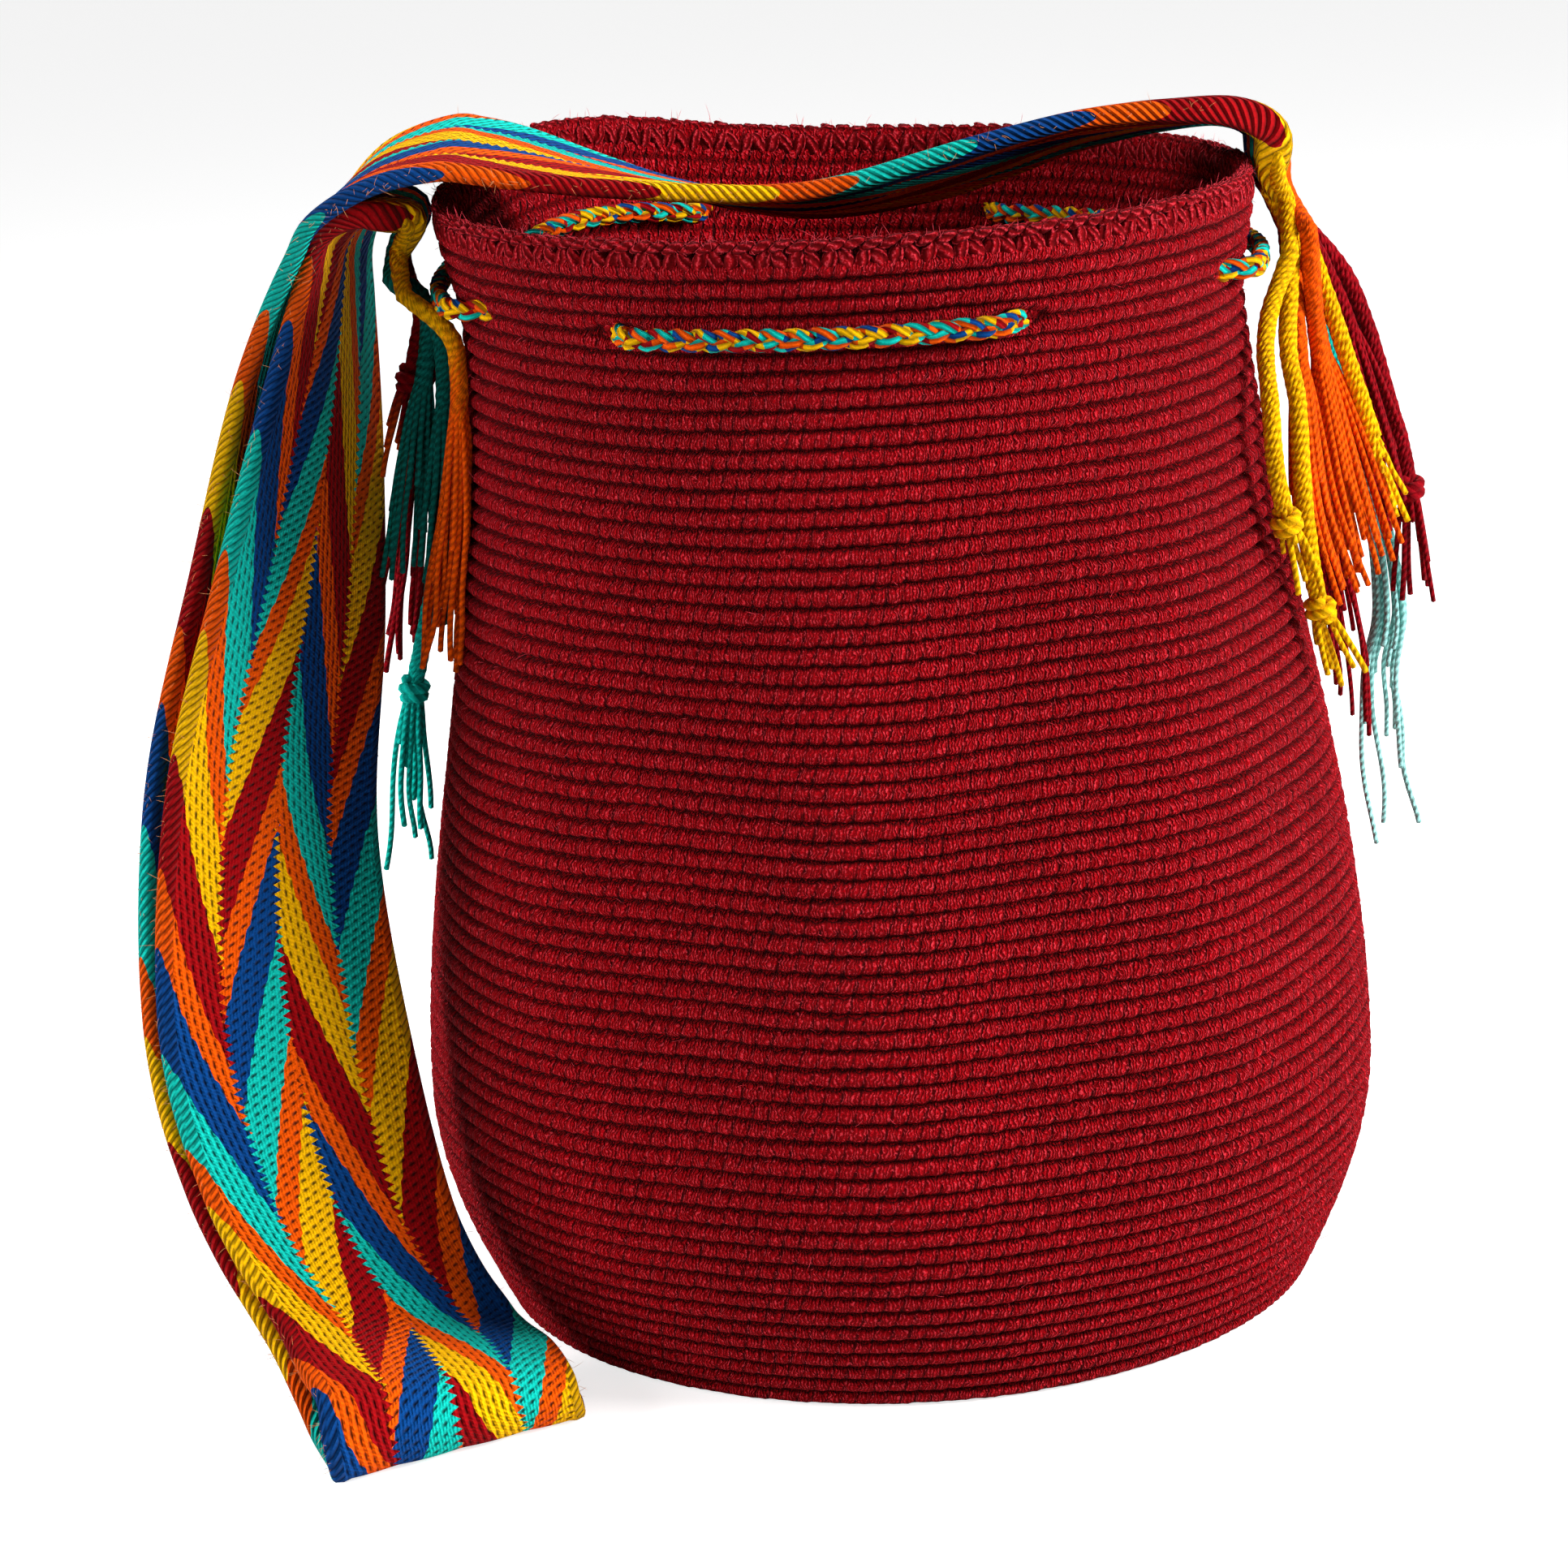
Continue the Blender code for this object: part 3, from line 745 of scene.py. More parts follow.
def cord_route():
    """The drawstring's points, in and out of the slots, from one hanging end to the other."""
    outside = ROW_RELIEF / 2 + CORD_CLEARANCE + CORD_RADIUS
    inside = -WALL - CORD_CLEARANCE - CORD_RADIUS
    cross = CROSSING / SLOT_WALL
    route = cord_tail(SLOT_ANGLES[0], 1)
    place = outside
    for i, angle in enumerate(SLOT_ANGLES):
        other = inside if place == outside else outside
        route.append(bag_point(angle + cross, place, CORD_LEVEL))
        route.append(bag_point(angle, (place + other) / 2, CORD_LEVEL))
        route.append(bag_point(angle - cross, other, CORD_LEVEL))
        place = other
        if i + 1 < len(SLOT_ANGLES):
            start, end = angle - cross, SLOT_ANGLES[i + 1] + cross
            steps = max(2, round((start - end) * SLOT_WALL / 0.011))
            for j in range(1, steps):
                route.append(bag_point(start + (end - start) * j / steps, place, CORD_LEVEL))
    route.extend(reversed(cord_tail(SLOT_ANGLES[-1], -1)))
    return np.array(route)


cord_line = spline(cord_route(), CORD_STEP)
cord_travel = travelled(cord_line)

# %% Drawstring plait
PLAIT_STRANDS = 3
PLAIT_PITCH = 0.0195
PLAIT_WIDTH = 0.0017
PLAIT_DEPTH = 0.0010
PLAIT_STRAND = 0.0016
KNOT_TURNS = 2.5
KNOT_RISE = 0.010
KNOT_BULGE = 0.0042
KNOT_STRAND = 0.0021
BRUSH_YARNS = 9
BRUSH_YARN = 0.0009
BRUSH_LENGTH = 0.018
MIXED_YARNS = [YELLOW, TURQUOISE, ORANGE, BLUE, YELLOW, STRAP_RED, TURQUOISE, ORANGE]


def mixed_finish():
    """Strands whose plies have different colours."""
    finish = Finish("mixed_yarn")
    u, v = finish.uv()
    wobble = finish.noise(120, 1)
    plies = 5
    turn = (u + v / 0.030 + wobble * 0.2).part() * plies
    shift = ((v + turn.whole() * 0.0019) / 0.0045).whole() * 3
    count = len(MIXED_YARNS)
    choice = ((turn.whole() + shift) / count + 0.5 / count).part()
    stops = [(i / count, colour) for i, colour in enumerate(MIXED_YARNS)]
    colour = finish.ramp(choice, stops, 'CONSTANT')
    ply = turn.peak()
    fibre = finish.noise(1600, 1)
    # Painted shade: each ply darker towards its edges, where it meets the next; fibres vary at random.
    tone = (ply * 0.75 + 0.36) * (fibre * 0.6 + 0.7)
    return finish.wear(finish.shade(colour, tone), ply, 0.0006)


def make_drawstring():
    across, over = frames_along(cord_line)
    shape = bmesh.new()
    for strand in range(PLAIT_STRANDS):
        turn = math.tau * (cord_travel / PLAIT_PITCH + strand / PLAIT_STRANDS)
        line = cord_line + across * (PLAIT_DEPTH * np.sin(2 * turn))[:, None]
        line = line + over * (PLAIT_WIDTH * np.sin(turn))[:, None]
        add_yarn(shape, line, PLAIT_STRAND, sides=7, offset=strand * 0.037)
    return finished("drawstring_plait", shape, mixed_finish(), "cord_yarn")


drawstring = make_drawstring()
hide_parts("drawstring")


def make_cord_knot(name, middle, below):
    """A plain knot: turns of the same plait pulled into a ball, and a short brush of loose ends."""
    shape = bmesh.new()
    down = unit(below - middle)
    across, over = frames_along(np.array([middle, middle + down * 0.01]))
    turns = np.linspace(0, 1, 60)[:, None]
    for strand in range(PLAIT_STRANDS):
        angle = math.tau * (turns * KNOT_TURNS + strand / PLAIT_STRANDS)
        rise = (turns - 0.5) * KNOT_RISE
        bulge = KNOT_BULGE * np.sqrt(np.clip(1 - (2 * turns - 1) ** 2, 0.05, 1))
        coil = middle + round_line(across[0], over[0], angle) * bulge - down * rise
        add_yarn(shape, coil, KNOT_STRAND, sides=7, offset=strand * 0.02)
    random.seed(9)
    for strand in range(BRUSH_YARNS):
        aside = round_line(across[0], over[0], math.tau * strand / BRUSH_YARNS)
        spread = aside * random.uniform(0.003, 0.0055)
        tip = down * random.uniform(0.8, 1.0) * (BRUSH_LENGTH + KNOT_DIAMETER / 2)
        points = [middle, middle + tip * 0.4 + spread * 0.4, middle + tip + spread]
        add_yarn(shape, spline(points, 0.004), BRUSH_YARN, offset=strand * 0.013)
    return finished(name, shape, drawstring.data.materials[0], "cord_yarn")


cord_knots = []
for end, inner in ((0, 4), (-1, -5)):
    knot_name = f"drawstring_knot_{len(cord_knots) + 1}"
    cord_knots.append(make_cord_knot(knot_name, cord_line[end], 2 * cord_line[end] - cord_line[inner]))

# %% [markdown]
# ## The strap
# The strap is a warp-faced band, 80 mm wide, with a rope-like edge on both sides. It runs from the
# right end over the mouth, down to the floor and up again to the left end. The stations are those of
# the CAD part.

# %% Strap route
STRAP_WIDTH = 0.080
STRAP_THICKNESS = 0.004
STRAP_EDGE = 0.006
SEWN_WIDTH = 0.038
SEWN_THICKNESS = 0.0084
SEWN_DEPTH = 0.017
SEWN_FLARE = 0.006
RUN_GAP = 0.0092
SEAT_GAP = 0.0003
RIGHT_RIM = float(bag_point(math.pi / 2, 0, BAG_HEIGHT)[0])
LEFT_RIM = float(bag_point(-math.pi / 2, 0, BAG_HEIGHT)[0])


def across_strap(heading, dip):
    """The way across the band, from a heading seen from above and a dip, in degrees."""
    heading, dip = math.radians(heading), math.radians(dip)
    level = math.cos(dip)
    return np.array((math.cos(heading) * level, math.sin(heading) * level, math.sin(dip)))


def centred(x, y, z, heading, dip, width=STRAP_WIDTH, thickness=STRAP_THICKNESS):
    """A strap station from its middle: near edge, far edge and thickness."""
    half = across_strap(heading, dip) * width / 2
    middle = np.array((x, y, z))
    return np.concatenate([middle - half, middle + half, [thickness]])


def hung(beyond, y, level, heading, dip, lift=0.0):
    """A strap station from its far edge, so far beyond the wall."""
    z = level * BAG_HEIGHT + lift
    far = np.array((-float(wall_radius(z)) - beyond, y, z))
    return np.concatenate([far - across_strap(heading, dip) * STRAP_WIDTH, far, [STRAP_THICKNESS]])


def sewn(side, drop, width=SEWN_WIDTH, out=0.0):
    """A strap station that lies flat on the outside of the wall, under the rim."""
    wall = RIGHT_RIM if side > 0 else LEFT_RIM
    seat = ROW_RELIEF / 2 + SEAT_GAP + SEWN_THICKNESS / 2 + out
    return centred(wall + side * seat, 0, BAG_HEIGHT - drop, 90, 0, width, SEWN_THICKNESS)


def over_mouth():
    rim = BAG_HEIGHT
    return [
        sewn(1, SEWN_DEPTH, out=SEWN_FLARE),
        sewn(1, SEWN_DEPTH / 4),
        centred(RIGHT_RIM + 0.005, 0.001, rim + 0.008, 90, -3, 0.040, 0.0075),
        centred(RIGHT_RIM - 0.006, 0.002, rim + 0.0135, 90, -6, 0.048, 0.0065),
        centred(RIGHT_RIM - 0.025, 0.003, rim + 0.013, 90, -10, 0.058, 0.005),
        centred(RIGHT_RIM * 0.54, 0.004, rim + 0.009, 90, -14, 0.070),
        centred(RIGHT_RIM * 0.26, 0.003, rim + 0.001, 90, -16),
        centred(LEFT_RIM * 0.12, 0.003, rim - 0.006, 90, -12),
        centred(LEFT_RIM * 0.49, 0.002, rim + 0.001, 90, -5),
        centred(LEFT_RIM + 0.028, 0.000, rim + 0.011, 90, 3),
        centred(LEFT_RIM + 0.004, 0.000, rim + 0.0155, 90, 4),
        centred(LEFT_RIM - 0.015, -0.001, rim + 0.0105, 90, 1),
        centred(LEFT_RIM - 0.030, -0.003, rim - 0.002, 88, -5),
    ]


def inner_run():
    rim = BAG_HEIGHT
    return [
        sewn(-1, SEWN_DEPTH, out=SEWN_FLARE),
        sewn(-1, SEWN_DEPTH / 4),
        centred(LEFT_RIM - 0.011, 0.000, rim - 0.001, 90, 0, 0.050, 0.007),
        centred(LEFT_RIM - 0.019, 0.000, rim - 0.0005, 88, -2, 0.064, 0.0055),
        centred(LEFT_RIM - 0.027, 0.001, rim - 0.010, 85, -10, 0.077),
        hung(0.029, 0.024, 0.79, 73, -23),
        hung(0.023, -0.002, 0.625, 58, -24),
        hung(0.018, -0.030, 0.465, 46, -19),
        hung(0.004, -0.057, 0.310, 34, -8),
        hung(-0.008, -0.076, 0.138, 31, -15),
    ]


def foot():
    floor = STRAP_EDGE / 2
    return [
        hung(-0.016, -0.088, 0.049, 30, -14),
        hung(-0.025, -0.106, 0.051, 29, -9),
        hung(-0.029, -0.119, 0.042, 30, -9),
        hung(-0.029, -0.1245, 0.0, 30, -5, floor + 0.007),
        hung(-0.027, -0.120, 0.0, 30, -1, floor + 0.0005),
        hung(-0.025, -0.109, 0.0, 30, 0, floor),
        hung(-0.020, -0.097, 0.0, 30, -2, floor + 0.001),
        hung(-0.010, -0.081, 0.0, 31, -12, floor + 0.006),
    ]


def middle_of(station):
    return (station[..., :3] + station[..., 3:6]) / 2


def outer_run(inner):
    """The run outside the inner one, a gap away, from the top down."""
    stations = []
    for i in range(5, len(inner)):
        below = inner[min(i + 1, len(inner) - 1)]
        upward = middle_of(inner[i - 1]) - middle_of(below)
        shift = -unit(np.cross(inner[i][3:6] - inner[i][:3], upward)) * RUN_GAP
        stations.append(inner[i] + np.concatenate([shift, shift, [0]]))
    return stations


def strap_stations():
    inner = inner_run()
    return over_mouth() + outer_run(inner) + foot()[::-1] + inner[::-1]


COARSE_STEP = 0.0145
FINE_STEP = 0.0021
coarse_line = spline(strap_stations(), COARSE_STEP)
strap_line = spline(coarse_line, FINE_STEP)
strap_middle = middle_of(strap_line)
strap_travel = travelled(strap_middle)
STRAP_LENGTH = float(strap_travel[-1])

# The band narrows into its gathered yarns at both ends.
GATHER_LENGTH = 0.026
GATHERED_SHARE = 0.36
to_end = np.minimum(strap_travel, STRAP_LENGTH - strap_travel)
narrow = (GATHERED_SHARE + (1 - GATHERED_SHARE) * smooth_step(to_end / GATHER_LENGTH))[:, None]
half_width = (strap_line[:, 3:6] - strap_line[:, :3]) / 2 * narrow
strap_line = np.concatenate(
    [strap_middle - half_width, strap_middle + half_width, strap_line[:, 6:] * narrow], axis=1)
print("Strap length:", round(STRAP_LENGTH, 3))

# %% [markdown]
# ## The zigzag
# The band has four columns. In each, six stripes in five colours run on a slant, so that two columns
# make a V. The stripes turn round at one place near the floor, as on a strap woven from its middle.
# The finish works the colour out from the place across the band and the pattern lengths along it.
# It paints shade in the grooves and holes of the weave and between the wraps of the edges.

# %% Zigzag finish
COLUMNS = 4
STRIPE_DROP = 0.34
NEXT_COLUMN = 0.20
TOOTH = 0.0027
WRAP_PITCH = 0.0027
TWIST_PITCH = 0.0013
YARN_PITCH = 0.0022
DASH_LENGTH = 0.0040
EDGE_SHARE = 0.048
STRIPES = [(0.0, STRAP_RED), (0.19, ORANGE), (0.31, BLUE),
           (0.50, TURQUOISE), (0.69, ORANGE), (0.81, YELLOW)]
TURN_PLACE = 0.609
ALONG_YARNS = math.radians(-8)
ACROSS_YARNS = math.radians(58)
TURN_MARKS = [(0.0, -0.122), (0.2064, 1.0), (0.4073, 2.0), (0.5830, 3.0), (0.6089, 3.14), (0.6348, 3.0),
              (0.7654, 2.0), (0.9228, 1.0), (1.1186, -0.06)]


def pattern_at(travel):
    """How many pattern lengths lie between a place on the strap and its end, up to the turn."""
    places, marks = zip(*TURN_MARKS)
    return np.interp(travel, places, marks)


def yarn_lines(x, y, angle):
    """Yarns at an angle from the strap's length: a count over them, and one along them in dashes."""
    over = (x * math.cos(angle) - y * math.sin(angle)) / YARN_PITCH
    beside = (x * math.sin(angle) + y * math.cos(angle)) / DASH_LENGTH
    return over, beside


def zigzag_finish():
    finish = Finish("zigzag_weave")
    u, v = finish.uv()
    around, along = finish.uv(LENGTH_UV)
    wobble = finish.noise(160, 2) - 0.5
    tooth = (along / TOOTH).peak() - 0.5
    column = (u * COLUMNS + tooth * 0.14 * ((u > 0.1) * (u < 0.9))).whole()
    share = u * COLUMNS - column
    odd = (column * 0.5).part() * 2
    slope = share * STRIPE_DROP + (share * 8).peak() * 0.012 + wobble * 0.016
    falling = v - slope
    rising = v + slope - STRIPE_DROP + NEXT_COLUMN
    start = (column > 1.5) * (0.5 + NEXT_COLUMN) - (column > 2.5) * (NEXT_COLUMN + 0.2)
    stripe = ((1 - odd) * falling + odd * rising + start + 8).part()
    colour = finish.ramp(stripe, STRIPES, 'CONSTANT')
    x, y = u * STRAP_WIDTH, (along - TURN_PLACE).size()
    over_along, beside_along = yarn_lines(x, y, ALONG_YARNS)
    over_across, beside_across = yarn_lines(x, y, ACROSS_YARNS)
    over = over_along * (1 - odd) + over_across * odd + wobble * 0.35
    beside = beside_along * (1 - odd) + beside_across * odd
    yarn = over.peak()
    dash = (beside + (over + 0.5).whole() * 0.5 + wobble * 0.4).peak()
    # Painted shade: darker in the grooves between yarns, in the holes of the weave and along each yarn's
    # twist.
    groove = finish.ramp(yarn, [(0.0, 1), (0.42, 0)])
    hole = groove * finish.ramp(dash, [(0.10, 1), (0.62, 0)])
    twist = (beside * (DASH_LENGTH / TWIST_PITCH) + over * 1.1 + wobble).wave()
    face_painted_shade = (1.06 - groove * 0.26) * (1 - hole * 0.72) * (twist * 0.24 + 0.84)
    edge = ((u - 0.5).size() > (0.5 - EDGE_SHARE))
    wrap = ((along - around) / WRAP_PITCH + wobble * 0.3).peak()
    # Painted shade: the rope edges darken between their wraps.
    painted_wrap_shade = finish.ramp(wrap, [(0.0, 0.22), (0.5, 1)])
    fibre = finish.noise(1400, 1)
    patch = finish.noise(35, 2)
    tone = (edge * painted_wrap_shade + (1 - edge) * face_painted_shade) * (fibre * 0.8 + 0.78) * (patch * 0.4 + 0.8)
    height = edge * wrap * 1.4 + (1 - edge) * (yarn * 0.7 - hole * 1.2 + twist * 0.2) + fibre * 0.25
    return finish.wear(finish.shade(colour, tone), height, 0.0011)


# %% Strap band
FACE_POINTS = 34
EDGE_POINTS = 9
CROWN = 0.10


def band_profile():
    """Points round the band's section: across in widths, up in thicknesses, and the pattern's u."""
    rope = STRAP_EDGE / 2 / STRAP_WIDTH
    rise = STRAP_EDGE / STRAP_THICKNESS / 2
    points = []
    for side in (1, -1):
        for share in np.linspace(-1, 1, FACE_POINTS):
            across = share * side * (0.5 - 2 * rope)
            crown = 0.5 + CROWN * abs(math.sin(COLUMNS * math.pi * (across + 0.5)))
            points.append((across, side * crown, across + 0.5))
        for turn in np.linspace(0.12, 0.88, EDGE_POINTS) * math.pi:
            across = side * (0.5 - rope + rope * math.sin(turn))
            if abs(math.cos(turn)) > 0.8:
                across -= side * rope * 0.6
            points.append((across, side * rise * math.cos(turn), across + 0.5))
    return np.array(points + points[:1])


def make_strap():
    profile = band_profile()
    lengths = travelled(profile[:, :2] * (STRAP_WIDTH, STRAP_THICKNESS))
    profile = np.concatenate([profile, lengths[:, None]], axis=1)
    last = len(strap_line) - 1
    ahead = np.gradient(strap_middle, axis=0)
    wide = strap_line[:, 3:6] - strap_line[:, :3]
    outward = np.cross(wide, ahead)
    outward /= np.linalg.norm(outward, axis=1)[:, None]

    def picked(u, v):
        return profile[nearest(u * (len(profile) - 1))], nearest(v * last)

    def place(u, v):
        section, index = picked(u, v)
        rise = outward[index] * section[:, 1:2] * strap_line[index, 6:7]
        return strap_middle[index] + wide[index] * section[:, :1] + rise

    def mapped(u, v):
        section, index = picked(u, v)
        travel = strap_travel[index]
        return np.stack([section[:, 2], pattern_at(travel), section[:, 3], travel], axis=1)

    shape = bmesh.new()
    bent_grid(shape, len(profile) - 1, last, place, mapped)
    bmesh.ops.remove_doubles(shape, verts=shape.verts, dist=WELD)
    bmesh.ops.holes_fill(shape, edges=[edge for edge in shape.edges if edge.is_boundary])
    bmesh.ops.recalc_face_normals(shape, faces=shape.faces)
    return finished("strap_band", shape, zigzag_finish(), "strap_yarn")


strap = make_strap()
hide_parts("strap")

# %% [markdown]
# ## The fringe
# At each sewn end the strap's warps run on as loose bundles. They lie side by side over the sewn end,
# then hang. Each is a rope of thin yarns: laid tightly at the top, loose lower down, and some tied in
# a knot with a spray of ends below it. Where a rope opens, its yarns stop winding and spread.

# %% Yarn finish


def yarn_finish(name, colour, below=None, start=0.0, end=1.0):
    """Two plies twisted together. The yarn may turn into another colour further down."""
    finish = Finish(name)
    u, v = finish.uv()
    wobble = finish.noise(150, 1)
    ply = (u * 2 + v / 0.0026 + wobble * 0.7).peak()
    fibre = finish.noise(1700, 1)
    patch = finish.noise(60, 1)
    # Painted shade: darker where the two plies meet; patches and fibres vary at random.
    tone = (ply * 0.6 + 0.50) * (fibre * 0.6 + 0.75) * (patch * 0.5 + 0.75)
    further = finish.ramp(v * 5, [(start * 5, 0), (end * 5, 1)])
    shade = finish.mix(further, colour, below or colour)
    return finish.wear(finish.shade(shade, tone), ply * 0.8 + fibre * 0.3, 0.0006)


YARNS = {}
for yarn, slot, name, *look in [
    ("yellow", "yellow_yarn", "yellow_yarn", YELLOW),
    ("orange", "orange_yarn", "orange_yarn", ORANGE),
    ("red", "dark_red_yarn", "dark_red_yarn", DARK_RED),
    ("turquoise", "turquoise_yarn", "turquoise_yarn", TURQUOISE),
    ("teal", "turquoise_yarn", "teal_yarn", TEAL),
    ("paling", "turquoise_yarn", "paling_yarn", TURQUOISE, PALE, 0.10, 0.19),
    ("sunset", "orange_yarn", "yellow_to_orange_yarn", YELLOW, ORANGE, 0.055, 0.09),
    ("ember", "dark_red_yarn", "red_to_orange_yarn", DARK_RED, ORANGE, 0.075, 0.09),
]:
    YARNS[yarn] = (yarn_finish(name, *look), slot)

# %% Fringe bundles
FRINGE_ROOT = 0.0036
FRINGE_BODY = 0.0054
FRINGE_KNOT = 0.0086
FRINGE_CLEARANCE = 0.001
BUNDLE_STEP = 0.0035
GATHER = [0.026, 0.019, 0.012, 0.005]
GATHER_UNDER = [0.012, 0.006]
GATHER_PITCH = 0.0038
STRAND = 0.00082
STRANDS = 14
MORE_STRANDS = 24
INNER_STRANDS = 4
OUTER_REACH = 2.35
LAY_PITCH = 0.030
SWAY = 0.0014
CURLED_SWAY = 0.0045
GREATEST_CUT = 0.30
COIL_TURNS = 2.2
COIL_BULGE = 0.0026
COIL_LENGTH = 0.0062
COIL_STRAND = 0.0017


def strap_end(side):
    """The middle of a sewn end, the way it points and the way through its thickness."""
    middles = middle_of(coarse_line)
    middle, before = middles[:2] if side > 0 else middles[:-3:-1]
    down = unit(middle - before)
    return middle, down, -np.cross((0, side, 0), down)


def clear_of_wall(points, radius):
    """Pushes points outward until what hangs there, of that radius, is clear of the wall."""
    x, y, z = np.asarray(points).T
    wall = on_bag(np.arctan2(x, -y), ROW_RELIEF / 2 + radius + FRINGE_CLEARANCE, z)
    push = np.maximum(1, np.hypot(wall[..., 0], wall[..., 1]) / np.hypot(x, y))
    return np.stack([x * push, y * push, z], axis=-1)


def bundle_line(side, root, stops, knot):
    """The bundle's middle line, the same as in the CAD part, and the travel at its knot."""
    middle, down, outward = strap_end(side)
    start = middle + np.array((0, root[0], 0)) + outward * root[1] + down * SEAT_GAP
    points = [start - down * 0.004, start + down * FRINGE_ROOT]
    for i, (y, drop, out) in enumerate(stops):
        z = BAG_HEIGHT - drop / 1000
        wall = float(bag_point(side * math.pi / 2, 0, z)[0])
        width = FRINGE_KNOT if i == knot else FRINGE_BODY
        points.append(clear_of_wall((wall + side * out / 1000, y / 1000, z), width / 2))
    line = spline(points, BUNDLE_STEP)
    travel = travelled(line)
    if knot is None:
        return line, travel, None
    return line, travel, travel[np.linalg.norm(line - points[2 + knot], axis=1).argmin()]


def gathered(side, offset, under):
    """Points down over a sewn end's outer face or under it, a distance from its middle line."""
    points = []
    for travel in GATHER_UNDER if under else GATHER:
        index = np.searchsorted(strap_travel, travel if side > 0 else STRAP_LENGTH - travel)
        wide = strap_line[index, 3:6] - strap_line[index, :3]
        outward = unit(np.cross(wide, strap_middle[index + 1] - strap_middle[index]))
        # A bundle at the near or far side lies along the edge itself, and the others lie on the face.
        share = np.clip(offset / SEWN_WIDTH, -0.5, 0.5)
        rise = strap_line[index, 6] / 2 + 0.0004 if abs(share) < 0.4 else 0.0010
        sunk = 0.75 if travel == GATHER[0] else 1.04
        points.append(strap_middle[index] + wide * share * sunk + outward * (-rise if under else rise))
    return points


def add_coil(shape, line, index):
    """Two turns of yarn pulled tight round a bundle."""
    across, over = frames_along(line)
    turns = np.linspace(0, 1, 28)[:, None]
    angle = math.tau * turns * COIL_TURNS
    ring = round_line(across[index], over[index], angle)
    ahead = unit(line[min(index + 1, len(line) - 1)] - line[index - 1])
    bulge = COIL_BULGE + 0.0008 * np.sin(math.pi * turns)
    coil = line[index] + ring * bulge + ahead * (turns - 0.5) * COIL_LENGTH
    add_yarn(shape, coil, COIL_STRAND, sides=7)


def bundle_route(side, root, rank, stops, knot, opens):
    """A bundle's line from the gathered band down, its points that hang, and where it opens."""
    hung_line, hung_travel, knot_at = bundle_line(side, root, stops, knot)
    # The bundle swings from the sewn end to its first stop in one bend.
    skipped = 4 if abs(rank) > 4 else 2
    top = gathered(side, rank * GATHER_PITCH, root[1] < 0 and abs(rank) < 4)
    bend = spline(top + [hung_line[skipped]], BUNDLE_STEP)
    line = np.concatenate([bend[:-1], hung_line[skipped:]])
    line = clear_of_wall(line, STRAND * 2.4)
    lead = travelled(line)[-1] - hung_travel[-1]
    return line, len(hung_line), lead + (knot_at or opens * hung_travel[-1])


def add_strands(shape, line, hanging, open_at, knotted, count, spray, swing):
    """Yarns wound round a line. Past the opening they spread and wander, and each is cut at random."""
    travel = travelled(line)
    across, over = frames_along(line)
    loose = np.clip((travel - open_at) / max(0.018, travel[-1] - open_at), 0, 1)
    wound = np.minimum(travel, open_at) / LAY_PITCH
    for strand in range(count):
        inner = strand < INNER_STRANDS
        share = strand / INNER_STRANDS if inner else strand / (count - INNER_STRANDS)
        angle = math.tau * (share + wound)[:, None]
        reach = STRAND * (1.0 if inner else OUTER_REACH) * np.clip((travel + 0.004) / 0.02, 0.5, 1)
        if knotted:
            reach = reach * (1 - 0.35 * np.exp(-((travel - open_at) / 0.003) ** 2))
        reach = reach + random.uniform(0.2, 1.0) * spray * loose ** 0.7
        bends = np.sin(travel / random.uniform(0.005, 0.011) + random.uniform(0, 6))
        path = line + round_line(across, over, angle) * reach[:, None]
        path = clear_of_wall(path + across * (swing * loose ** 2 * bends)[:, None], -0.0002)
        cut = max(6, int(len(path) - random.uniform(0, GREATEST_CUT) * hanging))
        blunt = path[cut - 1] + (path[cut - 2] - path[cut - 1]) * 0.12
        path = np.concatenate([path[:cut - 1], [blunt, path[cut - 1]]])
        add_yarn(shape, path, STRAND * random.uniform(0.95, 1.2), offset=random.uniform(0, 0.01))


def add_bundle(name, yarn, side, root, rank, stops, knot, seed):
    """One bundle of the fringe, as a piece."""
    opens, spray = (0.8, 0.004) if name == "right_yellow_3" else (0.42, 0.0078)
    line, hanging, open_at = bundle_route(side, root, rank, stops, knot, opens)
    knotted = knot is not None
    random.seed(seed)
    shape = bmesh.new()
    count = MORE_STRANDS if "orange" in name else STRANDS
    swing = CURLED_SWAY if "turquoise" in name else SWAY
    add_strands(shape, line, hanging, open_at, knotted, count, spray, swing)
    if knotted:
        add_coil(shape, line, int(np.searchsorted(travelled(line), open_at)))
    piece = finished("yarns_" + name, shape, *YARNS[yarn])
    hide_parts("fringe_" + name)
    return piece


